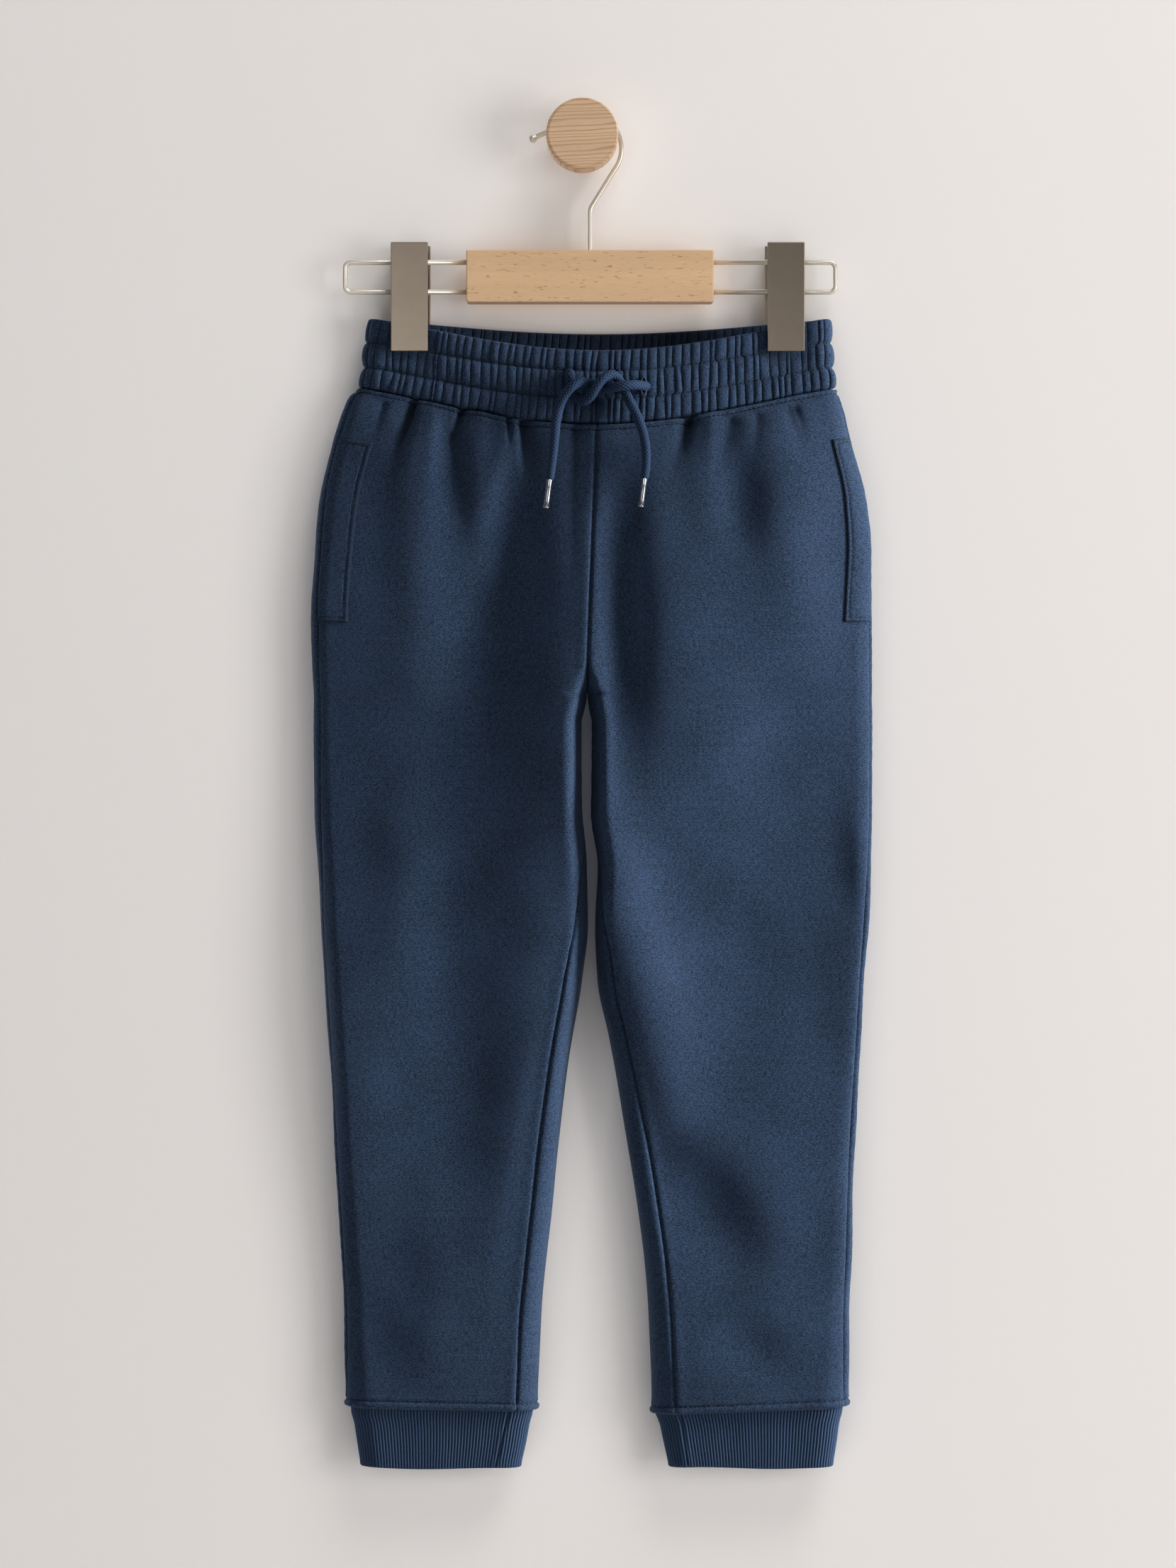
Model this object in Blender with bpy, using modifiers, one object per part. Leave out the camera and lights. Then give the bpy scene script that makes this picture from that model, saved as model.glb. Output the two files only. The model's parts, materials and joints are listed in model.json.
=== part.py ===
"""Child's fleece jogger sweatpants, clipped by the waistband to a wire and beech hanger on a wall knob.

Tables and sizes are in millimetres, and MM turns them into Blender's metres. The wall is the
plane y = 0 and everything hangs in front of it, at y < 0. The origin is where the knob's axis
meets the wall, +Z is up, and right and left are the wearer's, so the right leg is at -X.
"""

import math

import bmesh
import bpy
import numpy as np

MM = 0.001
FIT_GAP = 0.3  # between pieces that touch
SEAM_HALF_GAP = FIT_GAP / 2
SHARP_ANGLE = 50.0  # degrees; edges over it are shaded sharp
CLOTH = 2.0  # the fleece
RIGHT, LEFT = -1, 1
SIDES = {RIGHT: "right", LEFT: "left"}

# --- The trousers' sections. Each row is one level, whose height is true at the side edges. ---
# out, in: the outer and inner edges of the right and the left half, x. From the crotch up the
# inner edges are the centre seam. middle: y halfway between front and back. depth: from there to
# the cloth at the middle of the width, side_depth: the same near the edges. front_dip, back_dip:
# how far the cloth sags at the middle, between the clips.
SECTION_COLUMNS = (
    "level", "right_out", "right_in", "left_in", "left_out",
    "middle", "depth", "side_depth", "front_dip", "back_dip",
)  # fmt: skip
BAND_SECTIONS = (
    (-102, -119.6, 8.0, 8.4, 139.6, -15.0, 12.0, 4.6, 18.8, 7.4),
    (-116, -121.8, 8.0, 8.4, 140.0, -15.0, 12.0, 4.8, 16.8, 7.4),
    (-130, -122.6, 7.9, 8.3, 140.8, -15.2, 12.2, 5.0, 18.4, 7.8),
    (-142, -124.6, 7.8, 8.2, 141.8, -15.5, 12.6, 5.4, 20.2, 8.0),
)
BODY_SECTIONS = (
    (-142, -124.6, 7.8, 8.2, 141.8, -15.5, 12.6, 5.4, 20.2, 8.0),
    (-146, -131.6, 7.8, 8.2, 145.0, -15.8, 13.2, 6.2, 19.6, 7.8),
    (-153, -135.0, 7.7, 8.1, 147.8, -16.2, 13.4, 6.8, 18.6, 7.5),
    (-172, -141.2, 7.2, 7.6, 152.2, -17.0, 13.0, 7.2, 16.0, 6.5),
    (-204, -148.4, 6.0, 6.4, 160.4, -18.2, 12.0, 7.2, 11.0, 4.5),
    (-236, -151.4, 4.9, 5.3, 163.6, -19.0, 11.4, 7.2, 6.5, 2.5),
    (-268, -153.2, 3.8, 4.2, 163.6, -19.4, 11.0, 7.2, 3.0, 1.0),
    (-300, -153.0, 2.9, 3.3, 164.0, -19.6, 11.0, 7.2, 0.6, 0.2),
    (-316, -152.2, 2.6, 3.0, 164.0, -19.6, 11.0, 7.2, 0.0, 0.0),
    (-332, -152.0, -0.4, 5.4, 164.2, -19.6, 11.0, 7.2, 0.0, 0.0),
    (-380, -151.2, -0.2, 5.4, 164.4, -19.6, 11.2, 7.2, 0.0, 0.0),
    (-412, -149.6, 2.4, 9.0, 163.6, -19.6, 11.4, 7.2, 0.0, 0.0),
    (-444, -148.2, 3.2, 7.6, 162.0, -19.6, 11.6, 7.2, 0.0, 0.0),
    (-476, -145.8, -0.4, 8.8, 159.8, -19.6, 11.8, 7.2, 0.0, 0.0),
    (-508, -143.4, -5.6, 14.8, 158.0, -19.6, 12.0, 7.2, 0.0, 0.0),
    (-540, -141.6, -10.0, 20.8, 156.0, -19.5, 12.2, 7.4, 0.0, 0.0),
    (-572, -140.0, -14.0, 26.4, 154.2, -19.4, 12.4, 7.6, 0.0, 0.0),
    (-604, -138.0, -17.2, 31.2, 153.0, -19.2, 12.6, 8.0, 0.0, 0.0),
    (-636, -136.0, -20.4, 35.2, 152.2, -19.0, 12.8, 8.4, 0.0, 0.0),
    (-668, -134.6, -23.4, 37.8, 151.0, -18.6, 12.9, 9.2, 0.0, 0.0),
    (-708, -134.2, -24.8, 39.0, 151.0, -18.2, 13.0, 11.4, 0.0, 0.0),
    (-716, -134.0, -25.2, 39.2, 150.8, -18.0, 12.8, 12.0, 0.0, 0.0),
    (-719, -133.2, -26.0, 40.0, 150.0, -18.0, 12.6, 12.2, 0.0, 0.0),
)
CUFF_SECTIONS = (
    (-711, -129.4, -29.6, 43.8, 146.0, -18.0, 8.6, 8.0, 0.0, 0.0),
    (-752, -124.8, -35.2, 49.6, 141.4, -18.0, 8.8, 8.2, 0.0, 0.0),
)
CROTCH = -316.0
CROTCH_RISE = 26.0  # over this height the centre seam curves from the crotch to the front
EDGE_ROUND = 1.4  # how wide the rounding of an edge is, as a share of its depth
SAG_POWER = 1.2  # how pointed the sag between the clips is
FOLDS_FROM, FOLDS_OVER = -142.0, 16.0  # folds grow over this height below the waist seam
FOLDS_TO, FOLDS_LAST = -722.0, 26.0  # and fade over this height above the cuffs
FOLD_FADE = 1.5  # how softly a fold ends
FULL_REACH = 60.0  # from an outer edge to the full depth
FULL_OVER = 30.0  # the height over which the band's pointed oval becomes the body's full one
HEM_TILT_FROM, HEM = -640.0, -719.0
HEM_TILT = {RIGHT: (-0.9, 1.2), LEFT: (-3.0, 1.2)}  # how far the hem rises, inner and outer edge
FINE = 160  # steps along an outline when its length is measured

PANEL_LEVELS = (
    -142.2, -146, -153, -164, -180, -198, -220, -244, -268, -288, -302, -311, -316, -325,
    -345, -375, -405, -435, -465, -500, -535, -570, -610, -650, -685, -708, -716, -719,
)  # fmt: skip
FRONT_COLUMNS, BACK_COLUMNS = 14, 12
FRONT_CLOSER, BACK_CLOSER = 0.05, 0.11  # how much closer the columns stand near the seams
# Where the side seam and the inseam lie, in front of the edge: level, inseam right and left,
# side seam right and left, each an x distance from its edge.
SEAM_PLACES = (
    (-142, 0.0, 0.0, 3.0, 0.6),
    (-300, 0.0, 0.0, 4.0, 1.0),
    (-390, 0.0, 0.2, 3.0, 1.6),
    (-430, 5.0, 3.4, 2.2, 2.2),
    (-476, 9.6, 9.0, 1.6, 2.6),
    (-719, 12.0, 13.5, 1.0, 3.0),
)
# Folds: x and z of the upper and lower end, half width towards -X and towards +X, depth
# (inwards; a ridge is negative), and how many times wider the fold is at its lower end.
FRONT_FOLDS = (
    (15, -154, -44, -600, 41, 42, -13.4, 1.4),
    (43, -132, 71, -470, 37, 33, -13.4, 1.5),
    (-13, -290, 75, -640, 20, 20, -7.7, 0.9),
    (-33, -148, -60, -338, 11, 12, 5.7, 2.0),
    (-84, -80, -102, -352, 14, 10, -2.8, 2.0),
    (96, -159, 83, -239, 19, 22, 3.9, 0.7),
    (98, -90, 122, -350, 48, 43, -10.8, 0.6),
    (118, -314, 96, -613, 48, 34, 7.3, 2.0),
    (60, -552, 122, -637, 22, 25, -6.3, 1.3),
    (78, -680, 85, -771, 17, 18, -3.7, 1.9),
    (-70, -587, -88, -760, 16, 48, -1.5, 2.0),
    (-112, -342, -86, -708, 34, 43, 5.6, 0.8),
    (-21, -455, -65, -697, 15, 7, -1.5, 1.8),
    (-95, -330, -134, -630, 48, 27, -13.4, 2.0),
    (153, -353, 169, -480, 11, 18, -1.6, 0.7),
    (-13, -370, -4, -590, 32, 7, -3.2, 1.4),
    (30, -430, 84, -550, 10, 21, -3.2, 2.0),
    (-71, -70, -43, -325, 10, 12, -2.4, 1.3),
    (18, -166, 23, -410, 12, 21, 5.2, 0.7),
    (14, -551, 145, -651, 24, 24, 7.6, 1.7),
)
BACK_FOLDS = (
    (-30, -160, -62, -330, 18, 18, 3.4, 1.0),
    (44, -158, 74, -320, 18, 18, 3.0, 1.0),
    (-112, -170, -96, -290, 18, 18, 2.0, 1.0),
    (122, -170, 112, -300, 18, 18, 2.2, 1.0),
    (-76, -400, -70, -600, 22, 22, 2.2, 1.0),
    (84, -420, 96, -590, 22, 22, 2.4, 1.0),
)

# --- The waistband: elastic gathered in three puffs between two stitched rows. ---
GATHERS = 104
# level, how far the crowns and the creases of the gathers stand out.
BAND_ROWS = (
    (-102.0, 0.9, 0.0),
    (-108.5, 2.4, 0.3),
    (-115.6, 0.8, 0.0),
    (-122.4, 3.0, 0.7),
    (-129.8, 0.8, 0.0),
    (-136.0, 2.8, 0.6),
    (-141.8, 1.0, 0.2),
)
INSIDE_EVERY = 4  # the plain inside of the band and the cuffs has a point for each four outside
SQUEEZE_REACH = 15.0  # how far along the band a clip flattens its puffs
SQUEEZE = 0.75  # the share of their height that they lose at its middle
SQUEEZE_FADE = 10.0  # the height over which they recover below it

# --- The cuffs: one-by-one rib. ---
RIBS = 110
RIB_HEIGHT = 0.4

# --- The pocket welts: level, inner edge's distance from the side edge, right and left. ---
WELT_ROWS = ((-170, 22.6, 11.0), (-205, 22.0, 12.6), (-240, 21.4, 14.4), (-274, 21.0, 16.0))
WELT_LEVELS = (-170, -178, -190, -204, -220, -236, -250, -262, -274)
WELT_COLUMNS = 5
WELT_CLOTH = 1.4
WELT_LIFT = 0.6  # above the panel
WELT_FROM_SEAM = 1.0

# --- The drawcord: two free ends crossed once, each point in order from its buttonhole. ---
CORD_DIAMETER = 5.5
CORD_RIGHT = (
    (32.4, -33.4, -141.0), (28.4, -37.8, -141.2), (23.4, -39.6, -141.7), (18.2, -38.4, -142.4),
    (12.8, -35.0, -142.8), (8.0, -33.3, -141.6), (3.4, -34.8, -139.8), (-1.4, -38.2, -139.8),
    (-6.0, -39.6, -142.6), (-10.0, -38.0, -147.2), (-12.8, -36.4, -153.4), (-14.4, -36.8, -160.2),
    (-15.2, -37.8, -167.6), (-15.9, -39.0, -176.2), (-17.0, -40.2, -185.6), (-18.2, -41.2, -195.0),
)  # fmt: skip
CORD_LEFT = (
    (-6.6, -33.2, -135.2), (-6.4, -33.3, -141.0), (-4.2, -33.6, -146.8), (0.2, -34.6, -149.8),
    (4.6, -37.2, -147.6), (8.2, -39.3, -142.2), (12.2, -39.3, -137.4), (17.0, -36.4, -135.4),
    (20.8, -33.3, -138.2), (23.8, -33.2, -144.2), (27.6, -34.6, -151.8), (31.2, -36.4, -159.4),
    (34.0, -37.8, -167.4), (35.8, -39.0, -176.4), (36.0, -40.2, -185.6), (35.0, -41.2, -194.4),
)  # fmt: skip
CORD_STEPS = 2  # straight pieces between two points of the route
AGLET_LENGTH = 15.2
AGLET_RADIUS = 1.75
AGLET_FLARE = 0.35
AGLET_LIP = 1.6  # the height of each flared end
AGLET_GAP = 0.5  # from the cord's end

# --- The hanger. ---
WIRE = 3.0  # its diameter
BORE_RADIUS = WIRE / 2 + FIT_GAP
HANGER_Y = -15.0
BLOCK_X = (-65.6, 74.4)
BLOCK_Z = (-93.0, -63.4)
BLOCK_DEEP = 14.0
BLOCK_CORNER = 3.0
BLOCK_EDGE = 0.8
FRAME_ENDS = {RIGHT: -134.5, LEFT: 143.7}
FRAME_Z = (-86.6, -69.8)
FRAME_CORNER = 3.4
WIRE_IN_BLOCK = 12.0
HOOK_X = 4.5
HOOK_BEND = (2.4, -5.2)  # centre of the bend, x and z
HOOK_RADIUS = 20.0
HOOK_FROM, HOOK_TO = -36.0, 135.0  # degrees
HOOK_NECK = ((4.5, -40.2), (5.6, -37.6))  # the turn from the shank, x and z
HOOK_LIP = ((-15.8, 6.4), (-20.0, 4.2), (-24.4, 2.2), (-28.0, 0.4))
HOOK_BALL = 2.4
HOOK_REST = 0.4  # between the bend and the knob's stem
CLIP_X = {RIGHT: -97.6, LEFT: 115.2}
CLIP_Z = (-121.0, -59.4)
CLIP_WIDE = 21.0
CLIP_PLATE = 1.4
CLIP_GRIP = 9.2  # from the hanger's plane to a plate
CLIP_BACK_SHIFT = 0.8  # each back plate stands this much nearer the middle
BRIDGE_WIDE = 17.0
BRIDGE_Z = (-94.0, -62.0)
BRIDGE_EDGE, PLATE_EDGE = 1.0, 0.4

# --- The wall knob. ---
KNOB_FRONT = 40.0
KNOB_NECK = 22.0
KNOB_RADIUS = 20.35
KNOB_EDGE = ((6.0, 0.0), (2.2, 0.5), (0.6, 1.6), (0.0, 3.4))  # in from its rim, back from its front
KNOB_BACK_EDGE = 0.9
KNOB_STEPS = 48

PALETTE = {
    # name: colour (linear), roughness, metallic
    "navy_fleece": ((0.024, 0.040, 0.075), 0.95, 0.0),
    "navy_rib": ((0.026, 0.043, 0.078), 0.95, 0.0),
    "navy_cord": ((0.016, 0.028, 0.060), 0.85, 0.0),
    "nickel": ((0.50, 0.45, 0.38), 0.34, 1.0),
    "beech": ((0.52, 0.34, 0.20), 0.55, 0.0),
    "knob_wood": ((0.50, 0.36, 0.24), 0.6, 0.0),
}


def clear_scene():
    for thing in list(bpy.data.objects):
        bpy.data.objects.remove(thing, do_unlink=True)


def new_collection(name):
    collection = bpy.data.collections.new(name)
    bpy.context.scene.collection.children.link(collection)
    return collection


def new_material(name):
    colour, roughness, metallic = PALETTE[name]
    material = bpy.data.materials.new(name)
    material.use_nodes = True
    shader = material.node_tree.nodes["Principled BSDF"]
    shader.inputs["Base Color"].default_value = (*colour, 1.0)
    shader.inputs["Roughness"].default_value = roughness
    shader.inputs["Metallic"].default_value = metallic
    return material


class Maker:
    """The collections and materials that every piece goes into."""

    def __init__(self):
        self.parts = new_collection("jogger_sweatpants_on_hanger")
        self.cutters = new_collection("cutters")
        self.cutters.hide_render = True
        self.materials = {name: new_material(name) for name in PALETTE}

    def add(self, name, data, material):
        thing = bpy.data.objects.new(name, data)
        self.parts.objects.link(thing)
        data.materials.append(self.materials[material])
        return thing

    def add_cutter(self, name, mesh):
        thing = bpy.data.objects.new(name, mesh)
        self.cutters.objects.link(thing)
        thing.hide_render = True
        thing.display_type = "WIRE"
        return thing


# --- Outlines of the cloth ---


def section(table, level):
    """One row of a table of sections at any level, between its rows."""
    rows = np.array(table, float)[::-1]
    return {
        name: float(np.interp(level, rows[:, 0], rows[:, i]))
        for i, name in enumerate(SECTION_COLUMNS)
    }


def rounded(share):
    """A quarter circle's height: 0 at the edge, 1 from one radius in."""
    return np.sqrt(1.0 - (1.0 - np.clip(share, 0.0, 1.0)) ** 2)


def sag(row, x):
    """1 midway between the side edges, 0 at them."""
    across = (x - row["right_out"]) / (row["left_out"] - row["right_out"])
    return np.sin(math.pi * np.clip(across, 0.0, 1.0)) ** SAG_POWER


def folds(table, x, z):
    """The inward depth of the folds: each is a bell across a line, with a flank of its own width
    on each side, and fades at both ends of the line."""
    total = np.zeros_like(x)
    for x0, z0, x1, z1, to_right, to_left, depth, spread in table:
        long = math.hypot(x1 - x0, z1 - z0)
        along = ((x - x0) * (x1 - x0) + (z - z0) * (z1 - z0)) / long**2
        across = ((x - x0) * (z0 - z1) + (z - z0) * (x1 - x0)) / long
        inside = np.clip(along, 0.0, 1.0)
        width = np.where(across < 0.0, to_right, to_left) * (1.0 + (spread - 1.0) * inside)
        total += depth * np.sin(math.pi * inside) ** FOLD_FADE * np.exp(-((across / width) ** 2))
    return total


def outline(row, inner, outer, opened):
    """A flat tube's outline, as points x, y, z: from its inner edge along the front to its outer
    edge, and back along the back. opened, from 0 to 1, says how far the inner edge is cut away."""
    share = (1.0 - np.cos(np.linspace(0.0, math.pi, FINE + 1))) / 2
    x = inner + (outer - inner) * share
    full = np.sin(math.pi / 2 * np.clip(np.abs(outer - x) / FULL_REACH, 0.0, 1.0))
    below = float(np.clip((FOLDS_FROM - row["level"]) / FULL_OVER, 0.0, 1.0))
    centre_share = sag(row, x) + (full - sag(row, x)) * below
    depth = row["side_depth"] + (row["depth"] - row["side_depth"]) * centre_share
    edge = EDGE_ROUND * row["side_depth"]
    round_share = rounded(np.abs(outer - x) / edge) * rounded(np.abs(x - inner) / edge + opened)
    depth = depth * round_share
    soft = np.clip((FOLDS_FROM - row["level"]) / FOLDS_OVER, 0.0, 1.0) * round_share
    soft = soft * np.clip((row["level"] - FOLDS_TO) / FOLDS_LAST, 0.0, 1.0)
    front_z = row["level"] - row["front_dip"] * sag(row, x)
    back_z = row["level"] - row["back_dip"] * sag(row, x)
    front_y = row["middle"] - depth + soft * folds(FRONT_FOLDS, x, front_z)
    back_y = row["middle"] + depth - soft * folds(BACK_FOLDS, x, back_z)
    front = np.stack([x, front_y, front_z], axis=1)
    back = np.stack([x, back_y, back_z], axis=1)[::-1]
    return np.concatenate([front, back[1:]])


def lengths(points):
    """How far along a line each of its points is."""
    steps = np.linalg.norm(np.diff(points, axis=0), axis=1)
    return np.concatenate([[0.0], np.cumsum(steps)])


def at_lengths(points, along, wanted):
    return np.stack([np.interp(wanted, along, points[:, i]) for i in range(3)], axis=1)


def leg_outline(side, level):
    """Half of the trousers at one level: its outline, and whether the leg is a closed tube there."""
    row = section(BODY_SECTIONS, level)
    name = SIDES[side]
    opened = float(np.clip((level - CROTCH) / CROTCH_RISE, 0.0, 1.0))
    points = outline(row, row[name + "_in"], row[name + "_out"], opened)
    inner_rise, outer_rise = HEM_TILT[side]
    share = (points[:, 0] - row[name + "_in"]) / (row[name + "_out"] - row[name + "_in"])
    drop = np.clip((HEM_TILT_FROM - level) / (HEM_TILT_FROM - HEM), 0.0, 1.0)
    points[:, 2] += drop * (inner_rise + (outer_rise - inner_rise) * share)
    return points, level <= CROTCH


def seam_lengths(side, level, points, along):
    """Where the inseam and the side seam cross an outline, both on its front."""
    rows = np.array(SEAM_PLACES, float)[::-1]
    first = 1 if side == RIGHT else 2
    inseam = np.interp(level, rows[:, 0], rows[:, first])
    side_seam = np.interp(level, rows[:, 0], rows[:, first + 2])
    front_x = np.abs(points[: FINE + 1, 0] - points[0, 0])
    front_along = along[: FINE + 1]
    return (
        float(np.interp(inseam, front_x, front_along)),
        float(np.interp(front_x[-1] - side_seam, front_x, front_along)),
    )


def unit(vectors):
    return vectors / np.maximum(np.linalg.norm(vectors, axis=-1, keepdims=True), 1e-9)


def places(first, last, count, closer):
    """Even places from first to last, drawn towards both ends, where the cloth turns sharply."""
    share = np.linspace(0.0, 1.0, count + 1)
    return first + (last - first) * (share - closer * np.sin(2 * math.pi * share))


def leg_grid(side):
    """Points of one leg, a row for each level and a column for each place round it, starting and
    ending at the inseam, with the way along each row and the way out of the cloth."""
    grid, tangent = [], []
    for level in PANEL_LEVELS:
        points, closed = leg_outline(side, level)
        along = lengths(points)
        start, seam = seam_lengths(side, level, points, along)
        end = along[-1] + (start if closed else 0.0)
        front = places(start, seam, FRONT_COLUMNS, FRONT_CLOSER)
        wanted = np.concatenate([front, places(seam, end, BACK_COLUMNS, BACK_CLOSER)[1:]])
        row = at_lengths(points, along, np.mod(wanted, along[-1] + (0.0 if closed else 1.0)))
        if closed:
            before, after = row[-2], row[1]
        else:
            before, after = row[0], row[-1]
        padded = np.concatenate([[before], row, [after]])
        grid.append(row)
        tangent.append(padded[2:] - padded[:-2])
    grid, tangent = np.array(grid), unit(np.array(tangent))
    up = unit(np.gradient(grid, axis=0))
    out = unit(np.cross(up, tangent)) * side
    return grid, tangent, out


# --- Solids of cloth ---


def mesh_of(name, points, faces):
    """A closed mesh from points in millimetres, its faces turned outwards."""
    mesh = bpy.data.meshes.new(name)
    mesh.from_pydata((points * MM).tolist(), [], faces)
    work = bmesh.new()
    work.from_mesh(mesh)
    bmesh.ops.recalc_face_normals(work, faces=work.faces)
    work.to_mesh(mesh)
    work.free()
    mesh.shade_smooth()
    mesh.set_sharp_from_angle(angle=math.radians(SHARP_ANGLE))
    return mesh


def sheet_solid(name, outer, inner):
    """An open sheet's wall: two grids of points and the four rims between them."""
    rows, columns = outer.shape[:2]
    index = np.arange(rows * columns).reshape(rows, columns)
    other = index + rows * columns
    faces = []
    for grid in (index, other):
        quads = [grid[:-1, :-1], grid[:-1, 1:], grid[1:, 1:], grid[1:, :-1]]
        faces += np.stack(quads, axis=-1).reshape(-1, 4).tolist()
    rim = np.concatenate([index[0, :-1], index[:-1, -1], index[-1, :0:-1], index[:0:-1, 0]])
    rim_ahead = np.roll(rim, -1)
    strip = [rim, rim_ahead, rim_ahead + rows * columns, rim + rows * columns]
    faces += np.stack(strip, axis=-1).tolist()
    points = np.concatenate([outer.reshape(-1, 3), inner.reshape(-1, 3)])
    return mesh_of(name, points, faces)


def ring_solid(name, outer, inner):
    """A tube's wall: outer rows with many columns over a plain inside of a top and a bottom row."""
    rows, columns = outer.shape[:2]
    index = np.arange(rows * columns).reshape(rows, columns)
    plain = rows * columns + np.arange(2 * inner.shape[1]).reshape(2, -1)
    ahead, plain_ahead = np.roll(index, -1, axis=1), np.roll(plain, -1, axis=1)
    quads = [index[:-1], ahead[:-1], ahead[1:], index[1:]]
    faces = np.stack(quads, axis=-1).reshape(-1, 4).tolist()
    faces += np.stack([plain[0], plain[1], plain_ahead[1], plain_ahead[0]], axis=-1).tolist()
    for rim, rim_ahead, near, near_ahead in (
        (index[0], ahead[0], plain[0], plain_ahead[0]),
        (index[-1], ahead[-1], plain[1], plain_ahead[1]),
    ):
        faces += np.stack([rim, rim_ahead, np.repeat(near, INSIDE_EVERY)], axis=-1).tolist()
        corner = rim_ahead[INSIDE_EVERY - 1 :: INSIDE_EVERY]
        faces += np.stack([corner, near_ahead, near], axis=-1).tolist()
    points = np.concatenate([outer.reshape(-1, 3), inner.reshape(-1, 3)])
    return mesh_of(name, points, faces)


def ring_row(points, count):
    """A closed outline at count even places, and the level way out of each."""
    points = np.concatenate([points, points[:1]])
    along = lengths(points)
    row = at_lengths(points, along, np.linspace(0.0, along[-1], count, endpoint=False))
    tangent = np.roll(row, -1, axis=0) - np.roll(row, 1, axis=0)
    out = unit(np.stack([tangent[:, 1], -tangent[:, 0], np.zeros(count)], axis=1))
    return row, out


def panel(maker, name, grid, tangent, out, material="navy_fleece"):
    """One cut panel: its side columns drawn in by half the seam's gap, and its inside."""
    outer = grid.copy()
    outer[:, 0] += tangent[:, 0] * SEAM_HALF_GAP
    outer[:, -1] -= tangent[:, -1] * SEAM_HALF_GAP
    return maker.add(name, sheet_solid(name, outer, outer - out * CLOTH), material)


def legs(maker):
    for side, name in SIDES.items():
        grid, tangent, out = leg_grid(side)
        cut = FRONT_COLUMNS
        panel(maker, f"front_{name}_leg", grid[:, : cut + 1], tangent[:, : cut + 1], out[:, : cut + 1])
        panel(maker, f"back_{name}_leg", grid[:, cut:], tangent[:, cut:], out[:, cut:])


def pocket_welts(maker):
    """Each welt is a strip of its front panel's points, moved out, from the side seam inwards."""
    rows = np.array(WELT_ROWS, float)[::-1]
    for side, name in SIDES.items():
        grid = []
        for level in WELT_LEVELS:
            points, _ = leg_outline(side, level)
            along = lengths(points)
            _, seam = seam_lengths(side, level, points, along)
            wide = np.interp(level, rows[:, 0], rows[:, 1 if side == RIGHT else 2])
            front_x = np.abs(points[: FINE + 1, 0] - points[0, 0])
            edge = np.interp(front_x[-1] - wide, front_x, along[: FINE + 1])
            wanted = np.linspace(edge, seam - WELT_FROM_SEAM, WELT_COLUMNS + 1)
            grid.append(at_lengths(points, along, wanted))
        grid = np.array(grid)
        across, up = np.gradient(grid, axis=1), np.gradient(grid, axis=0)
        out = unit(np.cross(up, across)) * side
        low, high = grid + out * WELT_LIFT, grid + out * (WELT_LIFT + WELT_CLOTH)
        maker.add(f"pocket_welt_{name}", sheet_solid(f"pocket_welt_{name}", high, low), "navy_fleece")


def clip_squeeze(x, level):
    """How much the puffs keep of their height where a clip's plates press on them."""
    near = sum(np.exp(-(((x - place) / SQUEEZE_REACH) ** 4)) for place in CLIP_X.values())
    pressed = np.clip((level - CLIP_Z[0] + SQUEEZE_FADE) / SQUEEZE_FADE, 0.0, 1.0)
    return 1.0 - SQUEEZE * near * pressed


def band_outline(level):
    """The whole waist at one level, from its right edge along the front and back again."""
    row = section(BAND_SECTIONS, level)
    share = (1.0 - np.cos(np.linspace(0.0, math.pi, FINE + 1))) / 2
    x = row["right_out"] + (row["left_out"] - row["right_out"]) * share
    edge = EDGE_ROUND * row["side_depth"]
    depth = row["side_depth"] + (row["depth"] - row["side_depth"]) * sag(row, x)
    depth = depth * rounded((x - row["right_out"]) / edge) * rounded((row["left_out"] - x) / edge)
    front = [x, row["middle"] - depth, level - row["front_dip"] * sag(row, x)]
    back = [x, row["middle"] + depth, level - row["back_dip"] * sag(row, x)]
    return np.concatenate([np.stack(front, axis=1), np.stack(back, axis=1)[-2:0:-1]])


def waistband(maker):
    outer = []
    for level, crown, crease in BAND_ROWS:
        row, out = ring_row(band_outline(level), 2 * GATHERS)
        stand = np.where(np.arange(2 * GATHERS) % 2 == 0, crease, crown)
        stand = stand * clip_squeeze(row[:, 0], level)
        outer.append(row + out * stand[:, None])
    inner = []
    for level, _, _ in (BAND_ROWS[0], BAND_ROWS[-1]):
        row, out = ring_row(band_outline(level), 2 * GATHERS)
        inner.append((row - out * CLOTH)[::INSIDE_EVERY])
    maker.add("waistband", ring_solid("waistband", np.array(outer), np.array(inner)), "navy_fleece")


def cuff_outline(side, level):
    row = section(CUFF_SECTIONS, level)
    name = SIDES[side]
    ends = sorted((row[name + "_in"], row[name + "_out"]))
    return outline(row, ends[0], ends[1], 0.0)[:-1]


def cuffs(maker):
    count = 2 * RIBS
    stand = np.where(np.arange(count) % 2 == 0, 0.0, RIB_HEIGHT)
    for side, name in SIDES.items():
        outer, inner = [], []
        for section_row in CUFF_SECTIONS:
            row, out = ring_row(cuff_outline(side, section_row[0]), count)
            outer.append(row + out * stand[:, None])
            inner.append((row - out * CLOTH)[::INSIDE_EVERY])
        mesh = ring_solid(f"cuff_{name}", np.array(outer), np.array(inner))
        maker.add(f"cuff_{name}", mesh, "navy_rib")


# --- Cord and hanger ---


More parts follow.
